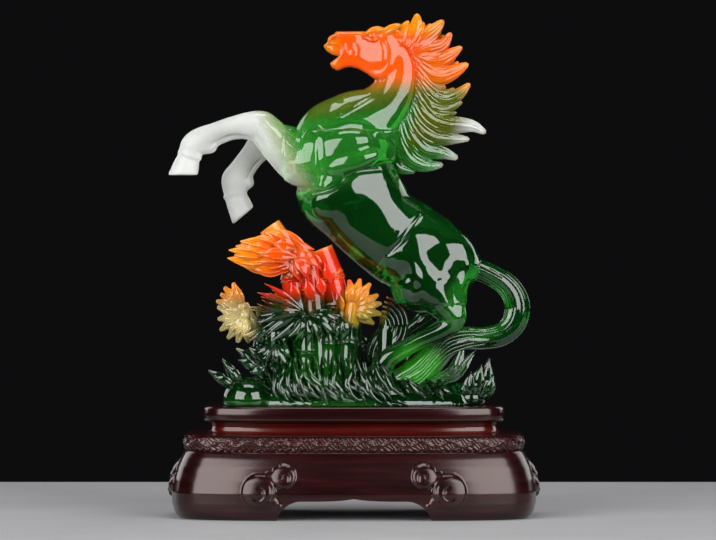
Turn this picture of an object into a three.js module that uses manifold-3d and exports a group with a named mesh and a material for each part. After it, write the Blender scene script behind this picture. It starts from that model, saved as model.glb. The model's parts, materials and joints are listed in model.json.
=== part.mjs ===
// Rearing horse of coloured cast glass among bamboo, flowers and grass, on a lacquered wooden stand.
// Millimetres, +Z up. The horse faces -X and its near side faces -Y. The origin is the middle of the
// stand's footprint, on the surface that it stands on.
import * as THREE from 'three';
import { mergeVertices } from 'three/addons/utils/BufferGeometryUtils.js';
import Module from 'manifold-3d';

const wasm = await Module();
wasm.setup();

// Driving dimensions
const STAND_HEIGHT = 83;
const STAND_HALF_LENGTH = 136;
const STAND_HALF_DEPTH = 70;
const STAND_CORNER_RADIUS = 26;
const CORNER_STEPS = 4;
const ARCH_HALF_LENGTH = 54;
const ARCH_HEIGHT = 14;
const ARCH_CUSP = 2.2;
const END_ARCH_HALF_DEPTH = 26;
const END_ARCH_HEIGHT = 11;
const BAND_TOP = 61;
const BAND_LOW = 53.5;
const BAND_RELIEF = 1.8;
const SCALLOP_PITCH = 15;
const SCALLOP_DEPTH = 2.6;
const SCROLL_TUBE = 1.9;
const END_ORNAMENT_RELIEF = 4.5;
const MOUND_HALF_LENGTH = 98;
const MOUND_HALF_DEPTH = 42;
const MOUND_MIDDLE = -3;
const MOUND_WAVE = 0.025;

const Y_AXIS = new THREE.Vector3(0, 1, 0);

// Solids from closed three.js geometries

function toSolid(geometry) {
  const bare = geometry.clone();
  bare.deleteAttribute('normal');
  bare.deleteAttribute('uv');
  const merged = mergeVertices(bare, 1e-4);
  return new wasm.Manifold(new wasm.Mesh({
    numProp: 3,
    vertProperties: new Float32Array(merged.attributes.position.array),
    triVerts: new Uint32Array(merged.index.array),
  }));
}

function toGeometry(solid) {
  const mesh = solid.getMesh();
  const geometry = new THREE.BufferGeometry();
  geometry.setAttribute('position', new THREE.BufferAttribute(mesh.vertProperties, 3));
  geometry.setIndex(new THREE.BufferAttribute(mesh.triVerts, 1));
  geometry.computeVertexNormals();
  return geometry;
}

function join(solids) {
  return solids.reduce((whole, solid) => whole.add(solid));
}

// A sphere's rows of vertices, moved to the places that the function gives for row, column angle
// and pole. Row 0 and the last row are the poles.
function reshapedSphere(columns, rows, place) {
  const geometry = new THREE.SphereGeometry(1, columns, rows);
  const position = geometry.attributes.position;
  const uv = geometry.attributes.uv;
  for (let i = 0; i < position.count; i += 1) {
    const row = Math.round((1 - uv.getY(i)) * rows);
    const isPole = row === 0 || row === rows;
    const column = isPole ? 0 : Math.round(uv.getX(i) * columns) % columns;
    const point = place(row, column, isPole);
    position.setXYZ(i, point.x, point.y, point.z);
  }
  return geometry;
}

// A closed body along a smooth curve. Each station is [x, y, z, half height, half width]: the half
// height lies in the plane of the bend and the half width runs across it, along Y.
function sweep(stations, sides, rings, cap = 0.5) {
  const spine = new THREE.CatmullRomCurve3(stations.map(([x, y, z]) => new THREE.Vector3(x, y, z)));
  const sizes = new THREE.CatmullRomCurve3(stations.map(([, , , tall, wide]) => new THREE.Vector3(tall, wide, 0)));
  return toSolid(reshapedSphere(sides, rings + 1, (row, column, isPole) => {
    const t = THREE.MathUtils.clamp((row - 1) / (rings - 1), 0, 1);
    const centre = spine.getPoint(t);
    const along = spine.getTangent(t);
    const up = new THREE.Vector3().crossVectors(Y_AXIS, along).normalize();
    const across = new THREE.Vector3().crossVectors(along, up);
    const size = sizes.getPoint(t);
    if (isPole) {
      const outwards = (row === 0 ? -cap : cap) * Math.min(size.x, size.y);
      return centre.addScaledVector(along, outwards);
    }
    const angle = (column / sides) * 2 * Math.PI;
    centre.addScaledVector(up, -Math.cos(angle) * size.x);
    return centre.addScaledVector(across, Math.sin(angle) * size.y);
  }));
}

// A ball with three half sizes
function ellipsoid(x, y, z, halfX, halfY, halfZ, columns = 10, rows = 7) {
  const geometry = new THREE.SphereGeometry(1, columns, rows);
  geometry.scale(halfX, halfY, halfZ);
  geometry.translate(x, y, z);
  return toSolid(geometry);
}

// A pointed blade from root to tip, bowed by the given rise, flat towards the viewer
function blade(root, tip, halfWidth, rise = 0, thickness = 1.2, rings = 3) {
  const [x0, y0, z0] = root;
  const [x1, y1, z1] = tip;
  const length = Math.hypot(x1 - x0, z1 - z0);
  const bowX = (-(z1 - z0) / length) * rise;
  const bowZ = ((x1 - x0) / length) * rise;
  const middle = [(x0 + x1) / 2 + bowX, (y0 + y1) / 2, (z0 + z1) / 2 + bowZ];
  return sweep([
    [x0, y0, z0, halfWidth * 0.3, thickness * 0.8],
    [...middle, halfWidth, thickness],
    [x1, y1, z1, halfWidth * 0.12, thickness * 0.4],
  ], 4, rings, 0.8);
}

// The horse

function torso() {
  return sweep([
    [-45, 0, 264, 7.5, 9],
    [-36, 0, 263, 23, 20],
    [-20, 0, 255, 34, 28],
    [-1, 0, 240, 37, 31],
    [18, 0, 218, 33.5, 32],
    [40, 0, 202, 34.5, 31],
    [62, 0, 191.5, 31, 29],
    [77, 0, 187, 23.5, 25],
    [89, 0, 183, 14, 16],
    [94, 0, 181, 5, 6],
  ], 12, 11);
}

function neck() {
  return sweep([
    [-16, 0, 260, 35, 25],
    [-7, 0, 276, 39, 27],
    [7, 0, 291, 32, 22],
    [23, 0, 306, 21, 18],
    [32, 0, 321, 16.5, 15],
    [35, 0, 336, 13, 13],
    [33, 0, 350, 8, 10],
  ], 10, 8);
}

function head() {
  const skull = sweep([
    [36, 0, 350, 7, 9],
    [31, 0, 349, 11.5, 12],
    [22, 0, 347.5, 15.5, 13.5],
    [13, 0, 348, 15.2, 12.5],
    [3, 0, 351, 12, 10.5],
    [-7, 0, 353.5, 9.2, 8.5],
    [-16, 0, 353, 7.6, 8.5],
    [-21, 0, 352, 4.5, 6],
  ], 9, 8);
  const jaw = sweep([
    [18, 0, 343, 12, 9.5],
    [5, 0, 341, 7.5, 8],
    [-3, 0, 340, 4.8, 6.5],
    [-11, 0, 338, 4, 6],
    [-17, 0, 337, 2.6, 4.5],
  ], 7, 4);
  const ears = [-1, 1].map((side) => sweep([
    [19, side * 8, 360, 3, 2.5],
    [24, side * 9, 364, 3.2, 2.5],
    [29, side * 9, 365, 1, 1],
  ], 4, 3));
  return join([skull, jaw, ...ears]);
}

function nearForeleg() {
  return sweep([
    [-2, -14, 274, 15, 12],
    [-14, -17, 266, 22, 15],
    [-28, -18, 261, 19, 14.5],
    [-41, -18, 267, 17.5, 13],
    [-54, -18, 278, 15, 11],
    [-67, -18, 289.5, 13.2, 10],
    [-84, -18, 290.5, 9.4, 7.5],
    [-97, -18, 288, 8.2, 7],
    [-110, -18, 283, 9.4, 8],
    [-119, -18, 279.5, 9.2, 8],
    [-123, -18, 272, 8.8, 7.5],
  ], 8, 12);
}

function farForeleg() {
  return sweep([
    [-2, 14, 278, 13.5, 12],
    [-16, 17, 273, 20, 15],
    [-32, 18, 273, 17, 13.5],
    [-46, 18, 278, 14, 11.5],
    [-58, 18, 283, 12, 10.5],
    [-68, 18, 282, 12, 10],
    [-76, 18, 273, 9.6, 8],
    [-82, 18, 262, 9.4, 7],
    [-88, 18, 252, 11.4, 8],
    [-91, 18, 241, 8.6, 7],
  ], 8, 11);
}

// A flared hoof between two points, cut flat at its sole
function hoof(top, sole, topRadius, soleRadius) {
  const from = new THREE.Vector3(...top);
  const to = new THREE.Vector3(...sole);
  const geometry = new THREE.CylinderGeometry(topRadius, soleRadius, from.distanceTo(to), 8);
  geometry.scale(1.15, 1, 0.9);
  const turn = new THREE.Quaternion().setFromUnitVectors(Y_AXIS, from.clone().sub(to).normalize());
  geometry.applyQuaternion(turn);
  const middle = from.add(to).multiplyScalar(0.5);
  geometry.translate(middle.x, middle.y, middle.z);
  return toSolid(geometry);
}

// The far cannon lies lower than the near one and its foot stands a little behind
function hindLeg(y, footShift) {
  const leg = sweep([
    [74, y * 0.6, 207, 15, 12],
    [64, y * 0.85, 193, 26, 16],
    [52, y * 0.95, 180, 25, 17],
    [54, y, 166, 17, 14],
    [66, y, 156, 12, 11],
    [74, y, 146, 9, 9],
    [63, y, 140 - footShift * 0.5, 7.8, 7.6],
    [49 + footShift * 0.3, y, 134 - footShift * 0.6, 6.8, 7],
    [36 + footShift * 0.6, y, 127 - footShift * 0.6, 6.8, 7.5],
    [26 + footShift, y, 121 - footShift * 0.4, 7.2, 7.8],
    [20 + footShift, y, 113, 6.6, 7.4],
  ], 8, 12);
  const foot = hoof([22 + footShift, y, 115], [16 + footShift, y, 101], 7, 9.4);
  return leg.add(foot);
}

// The tail springs from the croup, rings back below the hocks and ends in curled locks on the mound
function tail() {
  const ring = sweep([
    [84, 0, 187, 10, 9],
    [94, 0, 183, 7, 8],
    [103, 0, 181, 6.6, 7.8],
    [113, 0, 175, 8, 8.4],
    [120, 0, 165, 9.2, 9],
    [122, 0, 153, 9.8, 9.2],
    [118, 0, 142, 9.4, 9.4],
    [109, 0, 135, 9, 9.6],
    [96, -1, 133, 8.4, 10],
    [82, -2, 132, 8.4, 11],
    [68, -3, 127, 10, 12],
    [56, -4, 116, 12, 12],
    [45, -5, 103, 13, 11],
    [36, -5, 90, 12, 10],
  ], 8, 17);
  const root = [66, -9, 118];
  const tips = [[98, -9, 123], [93, -6, 113], [83, -9, 107], [70, -9, 98], [54, -9, 94]];
  const locks = tips.map((tip, i) => blade(root, tip, 5 - 0.4 * i, 2.5, 5));
  return join([ring, ...locks]);
}

// Locks of the mane, from the crest to their windblown tips, near side and far side
function mane() {
  const crest = new THREE.CatmullRomCurve3([
    new THREE.Vector3(28, 0, 352),
    new THREE.Vector3(40, 0, 340),
    new THREE.Vector3(46, 0, 318),
    new THREE.Vector3(40, 0, 294),
    new THREE.Vector3(28, 0, 270),
  ]);
  const tips = [
    [26, 371], [46, 375], [66, 370.5], [71, 361], [79, 351], [84, 337], [86, 323],
    [79, 310], [97, 287.5], [85, 283], [76, 268], [55, 257], [36, 253],
  ];
  return join(tips.map(([tipX, tipZ], i) => {
    const fraction = i / (tips.length - 1);
    const from = crest.getPoint(fraction);
    const side = i % 2 === 0 ? -1 : 1;
    const inX = from.x - 8;
    const inZ = from.z - 2;
    const bend = i % 2 === 0 ? 3.5 : -1;
    return sweep([
      [inX, side * 4, inZ, 8, 5],
      [from.x * 0.7 + tipX * 0.3, side * 5, from.z * 0.7 + tipZ * 0.3 - bend, 9, 6],
      [from.x * 0.3 + tipX * 0.7, side * 5, from.z * 0.3 + tipZ * 0.7 - bend * 0.5, 6.6, 4.5],
      [tipX, side * 4, tipZ, 0.8, 0.8],
    ], 4, 5, 0.8);
  }));
}

function horse() {
  return join([
    torso(),
    neck(),
    head(),
    mane(),
    nearForeleg(),
    hoof([-123, -18, 274], [-127.5, -18, 255], 7.8, 9.6),
    farForeleg(),
    hoof([-92, 18, 242], [-83, 18, 226], 7.2, 8.8),
    hindLeg(-20, 0),
    hindLeg(20, 9),
    tail(),
  ]);
}

// The plants

// A jointed stalk: each inner station is a node, where the stalk swells a little
function bambooStalk(stations, radius) {
  const nodeRise = 0.9;
  const nodeReach = 2.5;
  const points = [];
  stations.forEach(([x, y, z], i) => {
    const isNode = i > 0 && i < stations.length - 1;
    if (!isNode) {
      points.push([x, y, z, radius, radius]);
      return;
    }
    const [nextX, , nextZ] = stations[i + 1];
    const length = Math.hypot(nextX - x, nextZ - z);
    const stepX = ((nextX - x) / length) * nodeReach;
    const stepZ = ((nextZ - z) / length) * nodeReach;
    points.push([x - stepX, y, z - stepZ, radius, radius]);
    points.push([x, y, z, radius + nodeRise, radius + nodeRise]);
    points.push([x + stepX, y, z + stepZ, radius, radius]);
  });
  return sweep(points, 6, points.length, 0.02);
}

function bamboo() {
  return join([
    bambooStalk([[-63, -12, 218], [-48, -13, 190], [-38, -14, 162], [-32, -14, 132], [-24, -14, 96]], 8),
    bambooStalk([[-26, -10, 198], [-15, -10, 176], [-11, -12, 158], [-11, -13, 130], [-8, -14, 96]], 8),
    bambooStalk([[-84, -15, 158], [-68, -17, 130], [-54, -18, 96]], 5.5),
    bambooStalk([[-58, -22, 152], [-50, -22, 124], [-42, -22, 96]], 5.5),
    bambooStalk([[2, -22, 160], [0, -22, 131], [2, -22, 96]], 6.5),
  ]);
}

// A fan of leaves round one point, between two directions in degrees above -X
function leafFan(root, length, firstDegrees, lastDegrees, count, halfWidth) {
  const leaves = [];
  const gap = 4;
  for (let i = 0; i < count; i += 1) {
    const share = i / (count - 1);
    const angle = THREE.MathUtils.degToRad(firstDegrees + (lastDegrees - firstDegrees) * share);
    const reach = length * (1 - 0.18 * (i % 2));
    const y = root[1] - 2 + 4 * (i % 2);
    const from = [root[0] - Math.cos(angle) * gap, y, root[2] + Math.sin(angle) * gap];
    const tip = [root[0] - Math.cos(angle) * reach, y, root[2] + Math.sin(angle) * reach];
    leaves.push(blade(from, tip, halfWidth, 2, 2));
  }
  return leaves;
}

function leaves() {
  return join([
    ellipsoid(-44, -11, 186, 16, 8, 24, 8, 6),
    ...leafFan([-50, -13, 192], 45, -6, 20, 4, 7),
    ...leafFan([-42, -13, 154], 38, -4, 22, 3, 5.5),
    ...leafFan([-40, -19, 154], 36, -62, -20, 3, 5.5),
    ...leafFan([-36, -18, 154], 28, -150, -120, 2, 5),
    ...leafFan([-77, -8, 106], 34, -10, 50, 3, 5.5),
  ]);
}

// A flower head whose pointed petals open from one centre
function flower(centre, radius, firstDegrees, lastDegrees, count) {
  const [x, y, z] = centre;
  const petals = [ellipsoid(x, y, z, radius * 0.5, radius * 0.42, radius * 0.5, 6, 4)];
  for (let i = 0; i < count; i += 1) {
    const angle = THREE.MathUtils.degToRad(firstDegrees + ((lastDegrees - firstDegrees) * i) / (count - 1));
    const petalY = y - 3 + 6 * (i % 2);
    const from = [x - Math.cos(angle) * radius * 0.3, petalY, z + Math.sin(angle) * radius * 0.3];
    const tip = [x - Math.cos(angle) * radius, petalY, z + Math.sin(angle) * radius];
    petals.push(blade(from, tip, 5, 0.6, 2.8));
  }
  return petals;
}

function flowers() {
  return join([
    ...flower([-85, -12, 161], 19, -30, 100, 5),
    ...flower([-79, -14, 145], 19, -100, -10, 3),
    ...flower([4, -20, 159], 20, 70, 225, 6),
  ]);
}

// Grass blades fall forwards and outwards over the mound
function grass() {
  const blades = [];
  const count = 12;
  for (let i = 0; i < count; i += 1) {
    const share = i / (count - 1);
    const x = -58 + 76 * share;
    const lean = 10 + 12 * Math.sin(i * 2.4);
    const root = [x, -20, 108 - 3 * (i % 2)];
    const tip = [x + lean, -38 - 2 * (i % 2), 87 + 3 * (i % 3)];
    blades.push(blade(root, tip, 3.4, 2, 2.4));
  }
  return blades;
}

// A low mound with a wavy outline, flat below
function mound() {
  const columns = 20;
  const sizes = [0.45, 0.74, 0.92, 1, 0.98];
  const levels = [26, 21, 13, 4, -3];
  return toSolid(reshapedSphere(columns, sizes.length + 1, (row, column, isPole) => {
    if (isPole) {
      return new THREE.Vector3(MOUND_MIDDLE, 0, STAND_HEIGHT + (row === 0 ? 27 : -3));
    }
    const angle = (column / columns) * 2 * Math.PI;
    const size = sizes[row - 1] * (1 + MOUND_WAVE * Math.sin(5 * angle + row));
    return new THREE.Vector3(
      MOUND_MIDDLE - Math.cos(angle) * MOUND_HALF_LENGTH * size,
      -Math.sin(angle) * MOUND_HALF_DEPTH * size,
      STAND_HEIGHT + levels[row - 1],
    );
  }));
}

function undergrowth() {
  const rightLeaves = [[99, 118, 3], [93, 110, -4], [104, 106, 4]].map(([x, z, y]) => (
    blade([86, y, 88], [x, y, z], 5.5, 1.5, 3)
  ));
  const plumes = [0, 1].map((i) => blade([18 + 8 * i, 4, 104], [32 + 8 * i, 2, 163 - 6 * i], 8, -3, 5, 4));
  return [
    ellipsoid(-79, -14, 90, 20, 18, 15, 9, 6),
    ellipsoid(62, -10, 92, 30, 22, 16, 9, 5),
    ellipsoid(-42, -5, 120, 46, 15, 40, 11, 6),
    ...rightLeaves,
    ...plumes,
  ];
}

function horseFigure() {
  const below = new THREE.BoxGeometry(400, 200, STAND_HEIGHT);
  below.translate(0, 0, STAND_HEIGHT / 2);
  const plants = [mound(), ...undergrowth(), bamboo(), leaves(), flowers(), ...grass()];
  return join([horse(), ...plants]).subtract(toSolid(below));
}

// The stand

// Corner points of a rounded rectangle, counted round from the -X, -Y corner
function planPoint(index, halfLength, halfDepth, radius) {
  const perCorner = CORNER_STEPS + 1;
  const corner = Math.floor(index / perCorner) % 4;
  const angle = Math.PI + (Math.PI / 2) * (corner + (index % perCorner) / CORNER_STEPS);
  const signX = corner === 0 || corner === 3 ? -1 : 1;
  const signY = corner < 2 ? -1 : 1;
  return new THREE.Vector2(
    signX * (halfLength - radius) + Math.cos(angle) * radius,
    signY * (halfDepth - radius) + Math.sin(angle) * radius,
  );
}

function standBody() {
  // How far the outline steps in from the belly at each height, from the top down
  const profile = [
    [25.5, 83], [24, 81.5], [24, 72.5], [25.5, 71],
    [28, 70], [30.5, 66.5], [28, 63], [11.5, 62], [10.8, 61], [10.8, 53.5],
    [5, 48], [1.4, 41], [0, 30], [0, 13], [1.5, 5], [4.5, 0],
  ];
  const rows = profile.length + 1;
  const columns = 4 * (CORNER_STEPS + 1);
  return toSolid(reshapedSphere(columns, rows, (row, column, isPole) => {
    if (isPole) {
      return new THREE.Vector3(0, 0, row === 0 ? STAND_HEIGHT : 0);
    }
    const [inset, z] = profile[row - 1];
    const radius = STAND_CORNER_RADIUS - inset * 0.55;
    const point = planPoint(column, STAND_HALF_LENGTH - inset, STAND_HALF_DEPTH - inset, radius);
    return new THREE.Vector3(point.x, point.y, z);
  }));
}

// The carved band under the ledge, with a scalloped lower edge
function carvedBand() {
  const halfLength = STAND_HALF_LENGTH - 10.8 + BAND_RELIEF;
  const halfDepth = STAND_HALF_DEPTH - 10.8 + BAND_RELIEF;
  const outline = new THREE.Path();
  for (let i = 0; i < 4 * (CORNER_STEPS + 1); i += 1) {
    const point = planPoint(i, halfLength, halfDepth, STAND_CORNER_RADIUS - 6);
    if (i === 0) {
      outline.moveTo(point.x, point.y);
    } else {
      outline.lineTo(point.x, point.y);
    }
  }
  outline.closePath();
  const scallops = Math.round(outline.getLength() / SCALLOP_PITCH);
  const columns = 2 * scallops;
  const points = outline.getSpacedPoints(columns);
  return toSolid(reshapedSphere(columns, 4, (row, column, isPole) => {
    const point = points[column];
    const isValley = column % 2 === 0;
    const low = BAND_LOW + (isValley ? SCALLOP_DEPTH : 0);
    const relief = isValley ? 0.985 : 1;
    const z = [BAND_TOP, BAND_TOP, low, low, low][row];
    if (isPole) {
      return new THREE.Vector3(0, 0, row === 0 ? BAND_TOP : BAND_LOW + 1);
    }
    const size = row === 3 ? 0.93 : relief;
    return new THREE.Vector3(point.x * size, point.y * size, row === 3 ? BAND_LOW + 1 : z);
  }));
}

// A spiral bead that starts in the large eye of a scroll and ends in the small one
function frontScroll(side) {
  const eyes = [
    { x: 70.5, z: 22, radius: 11, turns: 1.35, start: 0.15 },
    { x: 52, z: 34, radius: 8, turns: -1.15, start: 0.85 },
  ];
  const stations = [];
  const steps = 9;
  for (let i = 0; i <= steps; i += 1) {
    const share = i / steps;
    const radius = eyes[0].radius * (0.22 + 0.78 * share);
    const angle = 2 * Math.PI * (eyes[0].start - eyes[0].turns * (1 - share)) + 1.1;
    stations.push([side * (eyes[0].x + Math.cos(angle) * radius), eyes[0].z + Math.sin(angle) * radius]);
  }
  for (let i = 0; i <= steps - 2; i += 1) {
    const share = 1 - i / (steps - 2);
    const radius = eyes[1].radius * (0.25 + 0.75 * share);
    const angle = 2 * Math.PI * (1 - share) * eyes[1].turns * -1 - 1.2;
    stations.push([side * (eyes[1].x + Math.cos(angle) * radius), eyes[1].z + Math.sin(angle) * radius]);
  }
  return sweep(stations.map(([x, z]) => [x, -STAND_HALF_DEPTH, z, SCROLL_TUBE, SCROLL_TUBE]), 4, 17);
}

// Plain round bosses on the back, where the front has the eyes of its scrolls
function backBoss(side) {
  return ellipsoid(side * 70.5, STAND_HALF_DEPTH, 22, 9, SCROLL_TUBE, 9, 6, 4);
}

// A raised ornament of four rounded lobes on each end of the stand
function endOrnament(side) {
  const x = side * (STAND_HALF_LENGTH - 0.5);
  const relief = END_ORNAMENT_RELIEF;
  return join([
    ellipsoid(x, 0, 32, relief * 0.9, 10, 11, 7, 5),
    ellipsoid(x, -13, 25, relief * 0.8, 9, 7, 6, 5),
    ellipsoid(x, 13, 25, relief * 0.8, 9, 7, 6, 5),
    ellipsoid(x, 0, 20, relief, 6, 6, 6, 4),
  ]);
}

// An ogee opening, extruded through the stand
function archCut(halfWidth, height, cusp, length) {
  const shape = new THREE.Shape();
  shape.moveTo(-halfWidth, -1);
  shape.lineTo(halfWidth, -1);
  shape.bezierCurveTo(halfWidth, height * 0.7, halfWidth * 0.88, height, halfWidth * 0.66, height);
  shape.bezierCurveTo(halfWidth * 0.4, height, halfWidth * 0.16, height, 0, height + cusp);
  shape.bezierCurveTo(-halfWidth * 0.16, height, -halfWidth * 0.4, height, -halfWidth * 0.66, height);
  shape.bezierCurveTo(-halfWidth * 0.88, height, -halfWidth, height * 0.7, -halfWidth, -1);
  const geometry = new THREE.ExtrudeGeometry(shape, { depth: length, bevelEnabled: false, curveSegments: 4 });
  geometry.translate(0, 0, -length / 2);
  geometry.rotateX(Math.PI / 2);
  return geometry;
}

function woodStand() {
  const frontArch = archCut(ARCH_HALF_LENGTH, ARCH_HEIGHT, ARCH_CUSP, 3 * STAND_HALF_DEPTH);
  const endArch = archCut(END_ARCH_HALF_DEPTH, END_ARCH_HEIGHT, 0, 3 * STAND_HALF_LENGTH);
  endArch.rotateZ(Math.PI / 2);
  const scrolls = [-1, 1].map((side) => frontScroll(side));
  const raised = [...scrolls, backBoss(-1), backBoss(1), endOrnament(-1), endOrnament(1)];
  return join([standBody(), carvedBand(), ...raised])
    .subtract(toSolid(frontArch))
    .subtract(toSolid(endArch));
}

// The two pieces

function piece(name, solid, color, roughness) {
  const material = new THREE.MeshStandardMaterial({ color, roughness, metalness: 0 });
  const mesh = new THREE.Mesh(toGeometry(solid), material);
  mesh.name = name;
  return mesh;
}

const figurine = new THREE.Group();
figurine.name = 'crystal_horse_figurine';
figurine.add(piece('horse_figure', horseFigure(), 0x1e7a3a, 0.06));
figurine.add(piece('stand', woodStand(), 0x3a0f14, 0.18));

export default figurine;
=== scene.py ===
"""Looks of the rearing glass horse and its lacquered stand.

Shapes are worked out in millimetres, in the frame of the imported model, and turned into metres when a
piece is made. The horse faces -X and its near side faces -Y.
"""
import json
import math

import bpy
import numpy as np
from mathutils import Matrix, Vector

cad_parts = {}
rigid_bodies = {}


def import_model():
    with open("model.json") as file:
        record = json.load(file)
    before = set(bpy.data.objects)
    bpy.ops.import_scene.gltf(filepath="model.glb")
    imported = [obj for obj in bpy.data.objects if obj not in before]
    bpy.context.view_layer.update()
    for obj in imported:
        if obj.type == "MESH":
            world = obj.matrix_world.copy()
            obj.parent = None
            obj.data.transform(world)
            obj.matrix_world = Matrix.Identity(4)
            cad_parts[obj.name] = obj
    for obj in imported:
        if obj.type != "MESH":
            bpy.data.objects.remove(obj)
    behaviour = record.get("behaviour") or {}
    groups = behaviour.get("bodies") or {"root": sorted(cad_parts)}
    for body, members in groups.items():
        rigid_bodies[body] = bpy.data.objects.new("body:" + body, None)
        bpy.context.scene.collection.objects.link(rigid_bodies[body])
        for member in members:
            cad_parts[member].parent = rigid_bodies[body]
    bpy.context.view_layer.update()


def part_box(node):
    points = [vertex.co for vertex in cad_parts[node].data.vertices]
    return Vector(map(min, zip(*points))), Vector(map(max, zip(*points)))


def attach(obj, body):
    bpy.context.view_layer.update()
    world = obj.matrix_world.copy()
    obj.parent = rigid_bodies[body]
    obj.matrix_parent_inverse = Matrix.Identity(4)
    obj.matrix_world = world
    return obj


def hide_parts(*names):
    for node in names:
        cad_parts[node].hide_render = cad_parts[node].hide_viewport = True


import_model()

import openvdb

MM = 0.001
SEED = 11
random = np.random.default_rng(SEED)

STAND_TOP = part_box("stand")[1][2] / MM
# Half sizes of the stand's plan at its belly, and the power of that superellipse
STAND_HALF_LENGTH = 136.0
STAND_HALF_DEPTH = 70.0
PLAN_POWER = 4.5

# Distance between the points of the horse's clay grid, and the value of a point far from any form
CLAY_STEP = 0.8
FAR_AWAY = 20.0
RIB_DEPTH = 0.2
MOST_TRIANGLES = 195000

Y_AXIS = np.array([0.0, 1.0, 0.0])


# Forms: closed meshes held as points, triangles and quads

def normalised(vectors):
    """The same directions with a length of one."""
    return vectors / np.maximum(np.linalg.norm(vectors, axis=-1, keepdims=True), 1e-9)


def as_triangles(triangles, quads):
    """The triangles, and each quad as two of them."""
    halves = [np.asarray(triangles, int).reshape(-1, 3)]
    if len(quads):
        quads = np.asarray(quads, int)
        halves += [quads[:, [0, 1, 2]], quads[:, [0, 2, 3]]]
    return np.vstack(halves)


def closed_form(points, triangles, quads):
    """A form with its faces turned outwards."""
    points = np.asarray(points, float)
    triangles = np.asarray(triangles, int).reshape(-1, 3)
    quads = np.asarray(quads, int).reshape(-1, 4)
    a, b, c = (points[as_triangles(triangles, quads)[:, i]] for i in range(3))
    if np.einsum("ij,ij->i", a, np.cross(b, c)).sum() < 0:
        triangles = triangles[:, ::-1]
        quads = quads[:, ::-1]
    return points, triangles, quads


def smooth_rows(rows, count):
    """Catmull-Rom curve through the rows, sampled evenly between them."""
    rows = np.asarray(rows, float)
    last = len(rows) - 1
    padded = np.vstack([2 * rows[0] - rows[1], rows, 2 * rows[-1] - rows[-2]])
    place = np.linspace(0, last, count)
    index = np.minimum(place.astype(int), last - 1)
    t = (place - index)[:, None]
    p0, p1, p2, p3 = (padded[index + k] for k in range(4))
    return 0.5 * (
        2 * p1
        + (p2 - p0) * t
        + (2 * p0 - 5 * p1 + 4 * p2 - p3) * t ** 2
        + (3 * p1 - p0 - 3 * p2 + p3) * t ** 3
    )


def tube_faces(rings, sides):
    """Quads round the rings and triangles to the two poles, which come last."""
    ring, side = np.meshgrid(np.arange(rings - 1), np.arange(sides), indexing="ij")
    here = ring * sides + side
    beside = ring * sides + (side + 1) % sides
    quads = np.stack([here, beside, beside + sides, here + sides], -1).reshape(-1, 4)
    k = np.arange(sides)
    start, end = rings * sides, rings * sides + 1
    last = (rings - 1) * sides
    first_fan = np.stack([np.full(sides, start), (k + 1) % sides, k], -1)
    last_fan = np.stack([np.full(sides, end), last + k, last + (k + 1) % sides], -1)
    return np.vstack([first_fan, last_fan]), quads


def sweep(stations, sides=48, rings=64, cap=0.6, ridge=0.0, ridges=0, twist=0.0):
    """A closed body along a smooth curve through stations of [x, y, z, half height, half width].

    The half height lies in the plane of the bend, the half width along Y. Ridges run lengthwise, and
    the ends bulge by the cap's share of their smaller half size.
    """
    rows = smooth_rows(stations, rings)
    centre, tall, wide = rows[:, :3], np.maximum(rows[:, 3], 0.05), np.maximum(rows[:, 4], 0.05)
    along = normalised(np.gradient(centre, axis=0))
    up = normalised(np.cross(Y_AXIS, along))
    side_way = np.cross(along, up)
    angle = np.arange(sides) * 2 * math.pi / sides
    t = np.linspace(0, 1, rings)
    size = np.ones((rings, sides))
    if ridges:
        size += ridge * np.cos(ridges * (angle[None, :] + twist * t[:, None]))
    points = (
        centre[:, None]
        - (np.cos(angle) * size * tall[:, None])[..., None] * up[:, None]
        + (np.sin(angle) * size * wide[:, None])[..., None] * side_way[:, None]
    )
    poles = np.stack([
        centre[0] - along[0] * cap * min(tall[0], wide[0]),
        centre[-1] + along[-1] * cap * min(tall[-1], wide[-1]),
    ])
    triangles, quads = tube_faces(rings, sides)
    return closed_form(np.vstack([points.reshape(-1, 3), poles]), triangles, quads)


def tilted(points, tilt, middle):
    """Points turned by the tilt in degrees about the Y axis, and then moved by the middle."""
    turn = math.radians(tilt)
    x = points[:, 0] * math.cos(turn) + points[:, 2] * math.sin(turn)
    z = points[:, 2] * math.cos(turn) - points[:, 0] * math.sin(turn)
    return np.stack([x, points[:, 1], z], -1) + middle


def ball(centre, half_sizes, sides=40, rings=28, tilt=0.0):
    """An ellipsoid, turned by the tilt in degrees."""
    polar = np.linspace(0, math.pi, rings + 2)[1:-1]
    angle = np.arange(sides) * 2 * math.pi / sides
    unit = np.stack([
        np.sin(polar)[:, None] * np.cos(angle),
        np.sin(polar)[:, None] * np.sin(angle),
        np.repeat(np.cos(polar)[:, None], sides, 1),
    ], -1).reshape(-1, 3)
    unit = np.vstack([unit, [[0, 0, 1], [0, 0, -1]]]) * np.asarray(half_sizes, float)
    triangles, quads = tube_faces(rings, sides)
    return closed_form(tilted(unit, tilt, np.asarray(centre, float)), triangles, quads)


def block(low, high, tilt=0.0):
    """A box between two corners, turned by the tilt in degrees round its middle."""
    low, high = np.asarray(low, float), np.asarray(high, float)
    signs = np.array([[a, b, c] for a in (-1, 1) for b in (-1, 1) for c in (-1, 1)])
    points = tilted(signs * (high - low) / 2, tilt, (low + high) / 2)
    quads = [[0, 1, 3, 2], [4, 6, 7, 5], [0, 4, 5, 1], [2, 3, 7, 6], [0, 2, 6, 4], [1, 5, 7, 3]]
    return closed_form(points, [], quads)


def all_below(height):
    """A block that takes up what the figure has below a height."""
    return block([-200, -100, STAND_TOP - 40], [200, 100, height])


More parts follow.
